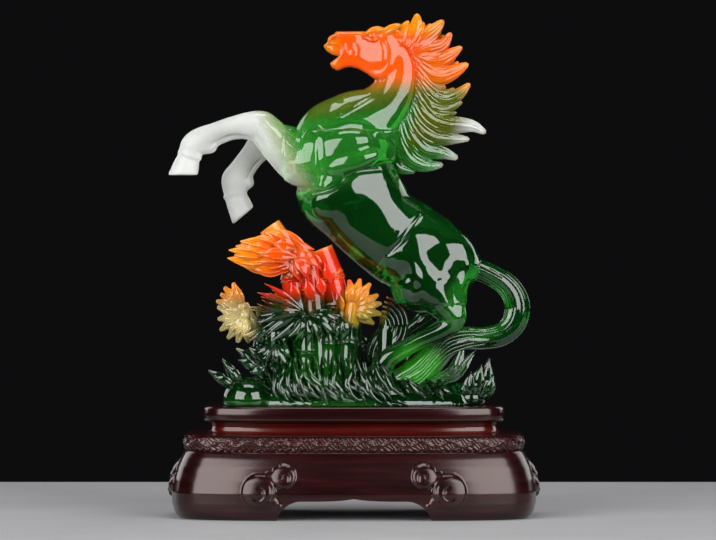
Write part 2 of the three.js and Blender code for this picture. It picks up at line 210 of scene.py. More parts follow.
def leaf(
    root, tip, half_width, thickness, bow, lean, sides=8, rings=9, blunt=0.08, wave=0.0, ribs=0,
):
    """A lens-shaped blade, flat towards the viewer, bowed and waved in its plane, ribbed or plain."""
    root, tip = np.asarray(root, float), np.asarray(tip, float)
    line = tip - root
    normal = normalised(np.cross(Y_AXIS, line))
    t = np.linspace(0, 1, 6)[:, None]
    path = root + line * t + Y_AXIS * lean * np.sin(math.pi * t)
    path += normal * (bow * np.sin(math.pi * t) + wave * np.sin(2 * math.pi * t))
    widths = half_width * np.array([0.3, 0.8, 1.0, 0.92, 0.55, blunt])
    thick = thickness * np.array([0.9, 1.0, 1.0, 0.9, 0.7, 0.4])
    return sweep(np.column_stack([path, widths, thick]), sides, rings, 0.8, RIB_DEPTH if ribs else 0.0, ribs)


# Clay: a body built up on a grid of distances, so that its parts run into each other softly

class Clay:
    """A grid of distances to a surface, less than nought inside it."""

    def __init__(self, low, high, step):
        self.step = step
        self.low = np.floor(np.asarray(low) / step).astype(int)
        self.size = np.ceil(np.asarray(high) / step).astype(int) - self.low
        self.values = np.full(self.size, FAR_AWAY, np.float32)

    def distances(self, form, reach):
        """The part of the grid within reach of the form, and its distances there."""
        points, triangles, quads = form
        margin = int(reach / self.step) + 3
        grid = openvdb.FloatGrid.createLevelSetFromPolygons(
            points.astype(np.float32),
            triangles=triangles.astype(np.uint32),
            quads=quads.astype(np.uint32),
            transform=openvdb.createLinearTransform(voxelSize=self.step),
            halfWidth=float(margin),
        )
        start = np.maximum(np.floor(points.min(0) / self.step).astype(int) - margin, self.low)
        stop = np.minimum(np.ceil(points.max(0) / self.step).astype(int) + margin, self.low + self.size)
        patch = np.empty(stop - start, np.float32)
        grid.copyToArray(patch, ijk=tuple(int(v) for v in start))
        return tuple(slice(a, b) for a, b in zip(start - self.low, stop - self.low)), patch

    def add(self, form, blend=0.4):
        """Joins a form on, with a fillet as wide as the blend."""
        self.join(*self.distances(form, blend), blend)

    def join(self, window, patch, blend):
        """Joins a patch of distances on."""
        old = self.values[window]
        near = np.minimum(old, patch)
        overlap = np.clip(blend - np.abs(old - patch), 0, None) / blend
        self.values[window] = np.where(near < blend, near - overlap ** 2 * blend / 4, near)

    def add_plate(self, outline, half_widths, rounding, blend):
        """A body with an outline in x and z, its half width in Y given by pairs of x and width.

        Its sides are arched, a quarter closer together at the top and the bottom.
        """
        outline = np.asarray(outline, float)
        margin = 2 * blend + 2
        low = np.floor((outline.min(0) - margin) / self.step).astype(int)
        high = np.ceil((outline.max(0) + margin) / self.step).astype(int)
        x = np.arange(low[0], high[0]) * self.step
        y = (np.arange(self.size[1]) + self.low[1]) * self.step
        z = np.arange(low[1], high[1]) * self.step
        rim = outline_distance(outline, x[:, None], z[None, :])
        widths = np.interp(x, *np.asarray(half_widths, float).T)
        middle = (outline[:, 1].max() + outline[:, 1].min()) / 2
        arch = 1 - 0.25 * ((z - middle) / (outline[:, 1].max() - middle)) ** 2
        first = rim[:, None, :] + rounding
        second = np.abs(y)[None, :, None] - widths[:, None, None] * arch + rounding
        outside = np.hypot(np.maximum(first, 0), np.maximum(second, 0))
        patch = outside + np.minimum(np.maximum(first, second), 0) - rounding
        window = (
            slice(low[0] - self.low[0], high[0] - self.low[0]),
            slice(0, self.size[1]),
            slice(low[1] - self.low[2], high[1] - self.low[2]),
        )
        self.join(window, patch.astype(np.float32), blend)

    def cut(self, form, blend=0.4):
        """Takes a form away, with an edge as soft as the blend."""
        window, patch = self.distances(form, blend)
        old = self.values[window]
        far = np.maximum(old, -patch)
        overlap = np.clip(blend - np.abs(old + patch), 0, None) / blend
        self.values[window] = far + overlap ** 2 * blend / 4

    def lay_on(self, path, side):
        """Stations along a path of [x, z, radius], laid on the surface of one side."""
        rows = []
        for x, z, radius in smooth_rows(path, 6 * len(path)):
            column = self.values[round(x / self.step) - self.low[0], :, round(z / self.step) - self.low[2]]
            inside = np.flatnonzero(column < 0)
            if len(inside):
                edge = inside[0] if side < 0 else inside[-1]
                within, beyond = column[edge], column[edge + side]
                place = edge + side * within / (within - beyond)
                rows.append([x, (place + self.low[1]) * self.step, z, radius, radius])
        return rows

    def crease(self, path, blend=2.0):
        """A soft groove along the same path on both sides."""
        for side in (-1, 1):
            rows = self.lay_on(path, side)
            if len(rows) > 3:
                self.cut(sweep(even_out(rows), 14, 4 * len(rows)), blend)

    def ripple(self, middle, radius, height, length):
        """Gentle waves, as on cast glass, round a middle in x and z."""
        x = ((np.arange(self.size[0]) + self.low[0]) * self.step)[:, None]
        z = ((np.arange(self.size[2]) + self.low[2]) * self.step)[None, :]
        near = ramp(-np.hypot(x - middle[0], z - middle[1]), -radius, -0.6 * radius)
        waves = np.sin((x + 0.6 * z) / length) * np.cos((z - 0.5 * x) / length)
        self.values += (height * near * waves).astype(np.float32)[:, None, :]

    def form(self, smoothing=6):
        """The clay's surface, evened out in some rounds."""
        grid = openvdb.FloatGrid(FAR_AWAY)
        grid.copyFromArray(self.values, ijk=tuple(int(v) for v in self.low), tolerance=0.0)
        grid.transform = openvdb.createLinearTransform(voxelSize=self.step)
        points, quads = grid.convertToQuads(0.0)
        points = relaxed(points.astype(float), quads.astype(int), smoothing)
        return closed_form(points, np.zeros((0, 3), int), quads.astype(int))


def outline_distance(outline, x, z):
    """Distance to a closed outline, less than nought inside it."""
    nearest = np.full(np.broadcast(x, z).shape, 1e9)
    inside = np.zeros(nearest.shape, bool)
    for (ax, az), (bx, bz) in zip(outline, np.roll(outline, -1, 0)):
        run, climb = bx - ax, bz - az
        share = np.clip(((x - ax) * run + (z - az) * climb) / (run ** 2 + climb ** 2), 0, 1)
        nearest = np.minimum(nearest, np.hypot(x - ax - share * run, z - az - share * climb))
        crosses = (az > z) != (bz > z)
        if climb:
            inside ^= crosses & (x < ax + (z - az) * run / climb)
    return np.where(inside, -nearest, nearest)


def relaxed(points, quads, rounds):
    """Points moved half way to their neighbours' middle and back, which evens a surface out."""
    ends = np.vstack([quads[:, [0, 1]], quads[:, [1, 2]], quads[:, [2, 3]], quads[:, [3, 0]]])
    ends = np.vstack([ends, ends[:, ::-1]])
    count = np.bincount(ends[:, 0], minlength=len(points))[:, None]
    for _ in range(rounds):
        for pull in (0.5, -0.51):
            total = np.stack([
                np.bincount(ends[:, 0], weights=points[ends[:, 1], k], minlength=len(points))
                for k in range(3)
            ], -1)
            points = points + pull * (total / np.maximum(count, 1) - points)
    return points


def even_out(rows):
    """Stations with the jumps in their Y averaged away."""
    rows = np.array(rows, float)
    for _ in range(10):
        rows[1:-1, 1] = (rows[:-2, 1] + 2 * rows[1:-1, 1] + rows[2:, 1]) / 4
    return rows


# Turning forms into pieces

def make_object(name, form):
    """A form in millimetres as an object in metres."""
    points, triangles, quads = form
    mesh = bpy.data.meshes.new(name)
    mesh.from_pydata((points * MM).tolist(), [], triangles.tolist() + quads.tolist())
    thing = bpy.data.objects.new(name, mesh)
    bpy.context.scene.collection.objects.link(thing)
    return thing


def apply_modifiers(thing):
    """Gives the object the mesh that its modifiers make, and clears them."""
    bpy.context.view_layer.update()
    graph = bpy.context.evaluated_depsgraph_get()
    mesh = bpy.data.meshes.new_from_object(thing.evaluated_get(graph), depsgraph=graph)
    thing.modifiers.clear()
    old = thing.data
    thing.data = mesh
    bpy.data.meshes.remove(old)


def unite(thing, forms, operation="UNION"):
    """One closed mesh of the object and every form, or of the object less every form."""
    others = bpy.data.collections.new(thing.name + "_parts")
    bpy.context.scene.collection.children.link(others)
    for i, form in enumerate(forms):
        part = make_object(f"{thing.name}_part_{i}", form)
        bpy.context.scene.collection.objects.unlink(part)
        others.objects.link(part)
    join = thing.modifiers.new("join", "BOOLEAN")
    join.operation = operation
    join.operand_type = "COLLECTION"
    join.collection = others
    join.solver = "MANIFOLD"
    apply_modifiers(thing)
    for part in list(others.objects):
        mesh = part.data
        bpy.data.objects.remove(part)
        bpy.data.meshes.remove(mesh)
    bpy.data.collections.remove(others)


def thin_out(thing):
    """Fewer faces, where the object has more triangles than a piece may have."""
    mesh = thing.data
    mesh.calc_loop_triangles()
    now = len(mesh.loop_triangles)
    if now <= MOST_TRIANGLES:
        return
    fewer = thing.modifiers.new("fewer", "DECIMATE")
    fewer.ratio = MOST_TRIANGLES / now
    apply_modifiers(thing)


def finish_surface(thing, sharp_degrees):
    """Not too many faces, and smooth shading but for edges sharper than the angle."""
    thin_out(thing)
    mesh = thing.data
    mesh.polygons.foreach_set("use_smooth", np.ones(len(mesh.polygons), bool))
    mesh.set_sharp_from_angle(angle=math.radians(sharp_degrees))


def points_of(thing):
    """The object's points in millimetres."""
    points = np.empty(len(thing.data.vertices) * 3)
    thing.data.vertices.foreach_get("co", points)
    return points.reshape(-1, 3) / MM


def paint(thing, name, values):
    """A colour for each point, kept on the mesh."""
    rgba = np.ones((len(thing.data.vertices), 4), np.float32)
    rgba[:, :3] = values
    attribute = thing.data.color_attributes.new(name, "FLOAT_COLOR", "POINT")
    attribute.data.foreach_set("color", rgba.ravel())


def edges_of(thing):
    """How far each point stands out of its neighbours' middle: more than nought on a ridge."""
    mesh = thing.data
    points = points_of(thing)
    ends = np.empty(len(mesh.edges) * 2, np.int32)
    mesh.edges.foreach_get("vertices", ends)
    ends = ends.reshape(-1, 2)
    ends = np.vstack([ends, ends[:, ::-1]])
    normals = np.empty(len(points) * 3)
    mesh.vertices.foreach_get("normal", normals)
    around = points[ends[:, 1]]
    lengths = np.linalg.norm(around - points[ends[:, 0]], axis=1)
    weights = np.column_stack([around, lengths, np.ones(len(ends))])
    totals = np.stack([
        np.bincount(ends[:, 0], weights=weights[:, k], minlength=len(points)) for k in range(5)
    ], -1)
    means = totals[:, :4] / np.maximum(totals[:, 4:], 1)
    rise = np.einsum("ij,ij->i", points - means[:, :3], normals.reshape(-1, 3))
    return rise / np.maximum(means[:, 3], 1e-6)


def lit_edges(colour, rise, share):
    """Colours with a painted highlight along ridges and painted shade in grooves."""
    # Painted highlight on ridges; painted shade darkens the grooves
    painted_highlight = share * ramp(rise, RIDGE_FROM, RIDGE_FULL)
    painted_shade = 1 - 0.5 * share * ramp(-rise, RIDGE_FROM, RIDGE_FULL)
    warmth = ramp(colour[:, 0] / (colour[:, 0] + colour[:, 1] + 0.01), 0.3, 0.7)
    return mix(colour, mix(COOL_EDGE_HIGHLIGHT, WARM_EDGE_HIGHLIGHT, warmth), painted_highlight) * painted_shade[:, None]


def ramp(value, low, high):
    """Nought below the low value, one above the high one, and smooth between them."""
    t = np.clip((value - low) / (high - low), 0, 1)
    return t * t * (3 - 2 * t)


def mix(first, second, share):
    """The first colour with a share of the second."""
    share = np.asarray(share)[..., None]
    return np.asarray(first) * (1 - share) + np.asarray(second) * share


# The horse

# Stations of [x, y, z, half height, half width]
BARREL = [
    [-45, 0, 264, 7.5, 9], [-36, 0, 263, 23, 20], [-20, 0, 255, 34, 28], [-1, 0, 240, 37, 31],
    [18, 0, 218, 33.5, 31], [40, 0, 202, 34, 30], [62, 0, 191.5, 30.5, 28], [77, 0, 187, 24, 25],
    [89, 0, 183, 14, 16], [94, 0, 181, 5, 6],
]
NECK = [
    [-16, 0, 260, 35, 25], [-7, 0, 276, 39, 26], [7, 0, 291, 32, 21], [23, 0, 306, 21, 16],
    [32, 0, 321, 16.5, 13.5], [35, 0, 336, 14, 12], [33, 0, 350, 9, 10],
]
# Soft masses of each side: middle, half sizes, tilt in degrees, blend
SIDE_MASSES = [
    ([-31, 22, 272], [9, 9, 18], 8, 5), ([-4, 27.5, 279], [16, 6, 8.5], -6, 4),
    ([0, 28, 264.5], [20, 6.5, 7], -20, 4), ([66, 14, 193], [25, 15, 22], 20, 7),
    ([58, 19, 177], [19, 11.5, 21], -14, 7), ([48, 12, 172], [18, 13, 20], -24, 10),
    ([-15, 20, 237], [17, 11, 15], -35, 9),
]
# Longer muscles of the far side, which the near side mirrors: stations and blend
SIDE_MUSCLES = [
    ([[59, 13, 212, 6, 6], [50, 18, 206, 10, 9], [41, 21, 196, 11, 9.5], [34, 18, 186, 7, 7]], 8),
    ([
        [45, 22, 199, 4, 5], [50, 24, 186, 7.5, 8], [57, 26, 172, 8, 8.5], [66, 24, 158, 7, 7.5],
        [73, 21, 149, 5, 6],
    ], 5),
    ([[83, 15, 188, 5, 7], [79, 19, 174, 5.5, 7.5], [79, 20, 160, 4.5, 6], [79, 20, 150, 3.5, 4.5]], 5),
]


def muscle_creases(clay):
    """Soft grooves of neck, shoulder, flank and thigh, each a path of [x, z, radius]."""
    clay.crease([
        [-30, 241, 0.8], [-19, 244, 1.6], [-9, 249.5, 1.8], [-4, 254, 1.8], [5, 258, 1.8], [19, 259, 0.6],
    ])
    clay.crease([[36, 352, 0.4], [32, 344, 1.3], [26, 333, 1.4], [18, 326.5, 0.6]], blend=1.6)
    clay.crease([[26, 338, 0.3], [21.5, 324, 0.7], [17, 316, 0.7], [7, 309, 0.7], [-9, 299.5, 0.3]], blend=3)
    clay.crease([[50, 225, 0.3], [44, 218, 1.1], [36, 207, 1.5], [25, 196, 0.4]], blend=3)


def fore_legs(clay):
    """Both forelegs down to the fetlock, with the grooves of their tendons, knee and ergots."""
    near = [
        [-27, -20, 265, 22, 14], [-41, -18, 265, 17, 13], [-54, -18, 275, 14, 11.5],
        [-66, -18, 288, 12.6, 10.4], [-76, -18, 291.5, 10.8, 9.4], [-90, -18, 290, 8.6, 8.2],
        [-103, -18, 285.5, 8.6, 8], [-113, -18, 281, 9.8, 8.8], [-120, -18, 276.5, 9.4, 8.8],
        [-122.5, -18, 268, 8.2, 7.8],
    ]
    far = [
        [-16, 17, 273, 20, 15], [-32, 18, 273, 17, 13.5], [-46, 18, 278, 14, 11.5],
        [-58, 18, 282, 12, 10.5], [-68, 18, 279, 11.4, 10], [-77, 18, 269.5, 9.2, 8.5],
        [-85, 18, 258.5, 9.6, 8], [-89, 18, 251, 11, 9], [-90, 18, 241, 8.4, 7.8],
    ]
    clay.add(sweep(near), 6)
    clay.add(sweep(far), 6)
    near_tendon = [[-80, 283, 0.5], [-92, 284, 1.1], [-106, 278, 0.5]]
    far_tendon = [[-71, 268, 0.5], [-78, 260, 1.1], [-81, 252, 0.5]]
    for y, tendon in ((-22.5, near_tendon), (-13.5, near_tendon), (13.5, far_tendon), (22.5, far_tendon)):
        clay.cut(sweep([[x, y, z, radius, radius] for x, z, radius in tendon], 12, 20), 3)
    clay.add(ball([-69, -18, 296], [8, 7, 5]), 5)
    clay.add(ball([-107.5, -18, 274.6], [4.5, 5, 3.2]), 4)
    clay.add(ball([-79.5, 18, 249.5], [4, 5, 3.6]), 4)


def hoof(clay, top, sole, top_radius, sole_radius, tilt):
    """A flared hoof with a coronet above it, its sole turned by the tilt in degrees from level."""
    top, sole = np.asarray(top, float), np.asarray(sole, float)
    way = normalised(sole - top)
    clay.add(sweep([
        [*(top - way * 2), top_radius * 0.96, top_radius * 0.84],
        [*(top + way * 0.4), top_radius * 1.06, top_radius * 0.92],
        [*(top + way * 2.4), top_radius * 0.98, top_radius * 0.86],
        [*((top + sole) / 2), (top_radius + sole_radius) / 2, (top_radius + sole_radius) * 0.43],
        [*sole, sole_radius, sole_radius * 0.88], [*(sole + way * 9), sole_radius * 1.1, sole_radius * 0.9],
    ], cap=0.0), 1.4)
    turn = math.radians(tilt)
    down = np.array([-math.sin(turn), 0, -math.cos(turn)])
    middle = sole + down * 12
    clay.cut(block(middle - [22, 22, 12], middle + [22, 22, 12], tilt), 1.2)


def hind_legs(clay):
    """Both hind legs from the stifle, with the points of their hocks and their hooves."""
    near = [
        [58, -20, 172, 15, 13], [65, -20, 159, 11, 9.5], [74, -20, 147, 8.4, 8.2],
        [65, -20, 138.5, 7.2, 7.2], [49, -20, 131.5, 6.4, 6.6], [37, -20, 125, 6.6, 7],
        [27, -20, 119.5, 7.2, 7.6], [20, -20, 112, 6.6, 7.2],
    ]
    far = [
        [50, 20, 172, 15, 13], [55, 20, 162, 11, 10], [61, 20, 154, 8.6, 8.4], [54, 20, 146.5, 7.2, 7.4],
        [42, 20, 138, 6.4, 6.8], [31, 20, 129.5, 6.8, 7], [26, 20, 121, 7, 7.4], [24, 20, 112, 6.6, 7.2],
    ]
    clay.add(sweep(near), 5)
    clay.add(sweep(far), 5)
    clay.add(ball([78, -20, 149], [4.2, 5, 5.5]), 4)
    clay.add(ball([64.5, 20, 156], [4, 5, 5]), 4)
    hoof(clay, [22, -20, 114], [17, -20, 102], 8, 10.4, 0)
    hoof(clay, [25, 20, 114], [21, 20, 102], 8, 10.4, 0)


# The head from the side, x and z, and its half width at some places along x
HEAD_OUTLINE = [
    [-13.4, 362.8], [12, 362.7], [30, 362], [37, 352], [35, 340], [28, 331], [19, 326], [14, 327.8],
    [9.2, 331.4], [3.2, 334.6], [-2.9, 336.2], [-7.1, 335.3], [-12.5, 333.2], [-16.7, 335.6], [-18, 338.8],
    [-11.6, 344.2], [-16.6, 345.2], [-21, 348.4], [-23, 351.8], [-18.2, 357],
]
HEAD_HALF_WIDTHS = [[-23, 5.2], [-16, 6.8], [-8, 7.4], [2, 8.8], [22, 13.2], [25, 13.2], [38, 9]]
# Raised lines round the mouth, each a path of [x, z, radius]: the lip, the cheek's edge and folds
MOUTH_FOLDS = [
    [[-20, 353.4, 0.4], [-14.5, 353.2, 0.9], [-9.4, 351.4, 1.0], [-8, 348, 1.0], [-10, 344.6, 0.8]],
    [[-17, 339.4, 0.4], [-12, 342, 0.7], [-8.4, 344.6, 0.8], [-6.6, 347.4, 0.4]],
    [[-5, 352, 0.4], [-6, 347.5, 0.8], [-5.4, 342.5, 0.4]],
    [[0.4, 353, 0.4], [2.4, 350, 0.8], [2.2, 342, 0.4]],
    [[-4.4, 347.6, 0.3], [-2, 347, 0.6], [0, 347.4, 0.3]],
    [[-4.4, 345.4, 0.3], [-2, 344.8, 0.6], [0, 345.2, 0.3]],
]


def face(clay, side):
    """Brow, eye, lid, nostril, folds of the mouth and ear of one side."""
    brow = [
        [7, side * 8.4, 358.4, 1.2, 1.6], [13, side * 10, 362.6, 2.6, 2.6],
        [19.5, side * 9.4, 363.4, 2.8, 2.4], [26, side * 8, 359.8, 1.4, 1.8],
    ]
    lid = [
        [9, side * 10, 357.4, 0.7, 0.9], [13.5, side * 11.4, 355.4, 0.9, 1.1],
        [18.6, side * 10.4, 357.6, 0.7, 0.9],
    ]
    nostril = [
        [-13, side * 6.4, 360, 1, 1.4], [-17.4, side * 7, 357.4, 1.7, 1.7], [-19, side * 6.2, 353.4, 1, 1.4],
    ]
    ear = [
        [20, side * 8, 359, 2.4, 2.2], [26, side * 9.8, 363.4, 3.4, 2.8],
        [31, side * 10.4, 366.2, 2.4, 2], [35, side * 10, 367.6, 0.8, 0.9],
    ]
    ear_hollow = [
        [23, side * 11.4, 361.6, 0.4, 0.5], [27, side * 13, 364.4, 1.4, 1.2],
        [31.5, side * 12.6, 366.8, 0.4, 0.5],
    ]
    clay.add(sweep(brow, 24, 28), 2)
    clay.add(ball([13.6, side * 9.8, 358.8], [3.3, 2.6, 2.7]), 0.6)
    clay.add(sweep(lid, 16, 20), 0.8)
    clay.add(sweep(nostril, 20, 24), 1.2)
    clay.cut(ball([-15.6, side * 8.4, 356], [2.2, 2.2, 1.2], tilt=-50), 0.8)
    for fold in MOUTH_FOLDS:
        clay.add(sweep(even_out(clay.lay_on(fold, side)), 12, 30), 0.8)
    clay.add(sweep(ear, 20, 28), 1.2)
    clay.cut(sweep(ear_hollow, 14, 18), 0.8)


def head(clay):
    """The skull with its open mouth, the creases of jaw and cheek, and both sides of the face."""
    jaw = [[2.5, 342, 0.4], [7, 337.6, 0.7], [13, 334, 0.8], [19, 333.4, 0.7], [23, 336.5, 0.4]]
    cheek = [[24, 338, 0.4], [25, 344, 0.7], [24.4, 350, 0.7], [22, 354.6, 0.4]]
    clay.add_plate(HEAD_OUTLINE, HEAD_HALF_WIDTHS, 3.2, 2.5)
    clay.crease(jaw, blend=2.5)
    clay.crease(cheek, blend=2.5)
    for side in (-1, 1):
        face(clay, side)


def tail_form():
    """The ridged tail, from the croup round its open ring to the mound."""
    return sweep([
        [78, 0, 190, 9, 9], [92, 0, 184.6, 8, 8.4], [102, 0, 180.6, 7.8, 8.2], [113, 0, 174, 8.4, 8.4],
        [120.5, 0, 164.5, 9, 8.8], [122.6, 0, 153, 9.4, 9], [118.6, 0, 142, 9, 9.2],
        [109, 0, 135, 8.4, 9.4], [96, -1, 132.8, 8, 9.8], [83, -2, 133, 8.4, 10.8],
        [70, -4, 128.5, 9, 11], [59, -6, 118.5, 10.5, 11.4], [48, -7, 107, 11.5, 11.6],
        [34, -7, 99, 10.5, 11],
    ], sides=88, rings=170, ridge=0.042, ridges=9, twist=0.9)


def horse_clay():
    """The horse without its mane and tail."""
    clay = Clay([-146, -46, 80], [138, 46, 381], CLAY_STEP)
    clay.add(sweep(BARREL, 72, 90))
    clay.add(sweep(NECK, 72, 80), 9)
    clay.add(ball([-8, 0, 272], [38, 33, 26], 72, 48, tilt=-20), 4)
    for (x, y, z), half_sizes, tilt, blend in SIDE_MASSES:
        for side in (-1, 1):
            clay.add(ball([x, side * y, z], half_sizes, 56, 40, tilt), blend)
    for rows, blend in SIDE_MUSCLES:
        for side in (-1, 1):
            clay.add(sweep(np.array(rows) * [1, side, 1, 1, 1], 40, 48), blend)
    fore_legs(clay)
    muscle_creases(clay)
    hoof(clay, [-122.6, -18, 270], [-127.2, -18, 255], 8.6, 10.6, 0)
    hoof(clay, [-90, 18, 241.5], [-83.4, 18, 225], 8.6, 9.8, -40)
    hind_legs(clay)
    clay.ripple([6, 232], 50, 0.45, 7.0)
    head(clay)
    return clay


# Mane locks from the forelock down: half width, and the path from the crest to the tip in x and z
MANE_LOCKS = [
    (3.4, [(30.7, 355), (30.0, 361), (31.1, 365.8)]),
    (4.4, [(37.5, 352), (37.4, 362), (40.4, 370.0)]),
    (5.4, [(42.6, 350), (46.0, 362), (47.3, 375.2)]),
    (5.2, [(42.6, 348), (51.4, 356), (60.0, 363.6), (66.4, 370.4)]),
    (5.0, [(44.0, 346), (56.0, 348.6), (66.0, 352.4), (72.2, 361.0)]),
    (5.2, [(44.5, 345), (54.0, 340.4), (65.0, 341.4), (73.0, 346.0), (80.0, 350.6)]),
    (5.8, [(46.6, 341), (55.0, 331.2), (66.0, 329.4), (76.0, 333.4), (84.6, 338.0)]),
    (4.6, [(47.0, 335), (54.0, 327), (61.0, 322.6), (67.4, 321.8)]),
    (5.2, [(48.0, 329), (57.0, 315.6), (68.5, 311.6), (78.5, 316.2), (86.0, 323.0)]),
    (4.8, [(48.0, 321), (56.5, 308.6), (67.0, 304.6), (80.0, 309.6)]),
    (5.8, [(46.0, 313), (51.5, 302.4), (63.4, 293.8), (77.2, 292.8), (88.0, 292.2), (97.8, 287.2)]),
    (5.0, [(42.5, 304), (48.0, 291.6), (60.0, 283.4), (72.9, 282.6), (85.4, 282.0)]),
    (6.0, [(38.0, 297), (42.6, 284.6), (53.1, 274.2), (64.3, 272.6), (76.7, 268.0)]),
    (5.8, [(33.0, 292), (34.9, 280.0), (42.2, 267.6), (53.1, 262.6), (65.6, 262.8)]),
    (5.6, [(29.0, 287), (28.9, 274.0), (33.0, 262.0), (44.8, 258.0)]),
    (4.2, [(27.5, 278), (26.0, 266.0), (26.4, 258.0), (28.8, 252.0)]),
]
MANE_SECTIONS = 7


def mane_lock(path, half, y, lift, reach, ridges=9):
    """A wavy lock with strand grooves: broad at the crest, blunt at the tip, closing towards the middle."""
    rows = smooth_rows(np.asarray(path, float), MANE_SECTIONS)
    t = np.linspace(0, 1, MANE_SECTIONS)
    rows = np.stack([np.interp(t * reach, t, rows[:, k]) for k in (0, 1)], -1)
    sides = y * (1 - 0.55 * t) + lift * np.sin(math.pi * t) * np.sign(y)
    halves = half * np.array([0.9, 1.15, 1.2, 1.12, 0.95, 0.7, 0.34])
    thick = np.array([4.6, 4.8, 4.4, 3.8, 3.1, 2.4, 1.5]) * min(1.0, half / 4.4)
    stations = np.column_stack([rows[:, 0], sides, rows[:, 1], halves, thick])
    return sweep(stations, 44, 30, 0.9, 0.075, ridges, 0.5)


def mane_strands():
    """The locks of the near and the far side, and thinner strands that fill between neighbours."""
    strands = []
    for side in (-1, 1):
        for half, path in MANE_LOCKS:
            strands.append(mane_lock(path, half, side * 5.0, 0.6, 1.0 if side < 0 else 0.95))
        for (_, first), (_, second) in zip(MANE_LOCKS, MANE_LOCKS[1:]):
            a, b = (smooth_rows(np.asarray(p, float), MANE_SECTIONS) for p in (first, second))
            for share in (0.3, 0.64):
                path = a + (b - a) * share
                path[1:-1] += random.uniform(-0.5, 0.5, (MANE_SECTIONS - 2, 2))
                strands.append(mane_lock(path, 4.0, side * 6.0, 0.8, random.uniform(0.66, 0.84), 7))
    return strands


def tail_strands():
    """Curled locks that leave the tail where it falls on the mound."""
    strands = []
    root = [57, -10, 104]
    ends = [(91, 124, 7), (87, 118.5, 5), (84, 113.5, 3), (78, 107.5, 2), (73, 102.5, 1), (82, 129, 9)]
    for x, z, bow in ends:
        strands.append(leaf(root, [x, -9, z], 4.2, 4.6, bow, -3, 26, 24, blunt=0.1, wave=1.6, ribs=7))
    for offset in (-8, -5, -2, 1, 4, 7):
        strands.append(sweep([
            [98, -8, 133.5 + offset * 0.6, 0.8, 1.2], [84, -11, 132.5 + offset * 0.8, 1.3, 2],
            [70, -14, 128.5 + offset, 1.4, 2.4], [60, -16, 118.5 + offset, 1.4, 2.4],
            [49, -17, 107 + offset * 0.9, 1.3, 2.2], [34, -16, 99 + offset * 0.6, 0.8, 1.2],
        ], 14, 40))
    return strands


def crystal_horse():
    """The horse with mane and tail, cut off a little above the stand inside the mound."""
    clay = horse_clay()
    thing = make_object("crystal_horse", clay.form())
    unite(thing, [tail_form()] + mane_strands() + tail_strands())
    unite(thing, [all_below(STAND_TOP + 4)], "DIFFERENCE")
    finish_surface(thing, sharp_degrees=48)
    return thing


# The plants and the mound

def bamboo_stalk(path, radius):
    """A stalk that swells and creases at each inner point of its path."""
    path = np.asarray(path, float)
    rows = []
    for i, point in enumerate(path):
        if 0 < i < len(path) - 1:
            way = normalised(path[i + 1] - path[i])
            for step, rise in ((-2.4, 0), (-1.0, 1.0), (0.0, 0.1), (1.0, 1.0), (2.4, 0)):
                rows.append([*(point + way * step), radius + rise, radius + rise])
        else:
            rows.append([*point, radius, radius])
    return sweep(rows, 28, 8 * len(rows), cap=0.05)


# Bamboo in front of the horse's middle plane and behind it: points of a stalk's path, and its radius
FRONT_STALKS = [
    ([[-63, -12, 216.5], [-49, -13, 195], [-45.5, -14, 177], [-42, -15, 150], [-36, -15, 96]], 8.8),
    ([[-25.5, -11, 199.5], [-17, -11, 177.5], [-12, -12, 157], [-10, -13, 130], [-8, -14, 96]], 9.8),
    ([[-35, -14, 188], [-31, -15, 168], [-29, -16, 146], [-27, -17, 96]], 9.5),
    ([[-83, -15, 158], [-68, -17, 129], [-58, -18, 96]], 4.6),
    ([[-58, -20, 150], [-54, -21, 126], [-50, -22, 96]], 4.6),
    ([[-36, -22, 150], [-35.5, -23, 123], [-36, -24, 96]], 6.0),
    ([[-20, -21, 150], [-19, -22, 130], [-19, -23, 96]], 5.2),
    ([[0, -20, 160], [-3.5, -21, 131], [-5, -22, 96]], 6.2),
]
BACK_STALKS = [
    ([[-68, 8, 154], [-64, 10, 126], [-60, 12, 92]], 6.4),
    ([[-52, 11, 167], [-50, 13, 136], [-48, 15, 92]], 7.8),
    ([[-34, 12, 176], [-33, 14, 143], [-31, 16, 92]], 8.4),
    ([[-17, 11, 171], [-15, 13, 133], [-14, 15, 92]], 7.8),
    ([[-1, 8, 157], [0, 10, 127], [2, 12, 92]], 6.4),
]


def bamboo():
    """All stalks, and a ball that closes the clump between the tall ones."""
    stalks = [bamboo_stalk(path, radius) for path, radius in FRONT_STALKS + BACK_STALKS]
    return stalks + [ball([-38, -13, 183], [16, 8, 15], 32, 24)]


def leaf_fan(root, length, first, last, count, half_width):
    """Ribbed leaves from one root, between two directions in degrees above -X."""
    leaves = []
    depth = 5.0
    outwards = 1 if root[1] > 0 else -1
    for i in range(count):
        angle = math.radians(first + (last - first) * i / max(count - 1, 1) + random.uniform(-5, 5))
        reach = length * random.uniform(0.7, 1.05)
        y = root[1] + depth * (random.random() - 0.5)
        start = [root[0] - math.cos(angle) * 2, y, root[2] + math.sin(angle) * 2]
        tip = [root[0] - math.cos(angle) * reach, y + 2 * outwards, root[2] + math.sin(angle) * reach]
        bow = random.uniform(-2.5, 2.5)
        half = half_width * random.uniform(0.8, 1.1)
        leaves.append(leaf(start, tip, half, 1.9, bow, 2.5 * outwards, 14, 12, ribs=3))
    return leaves


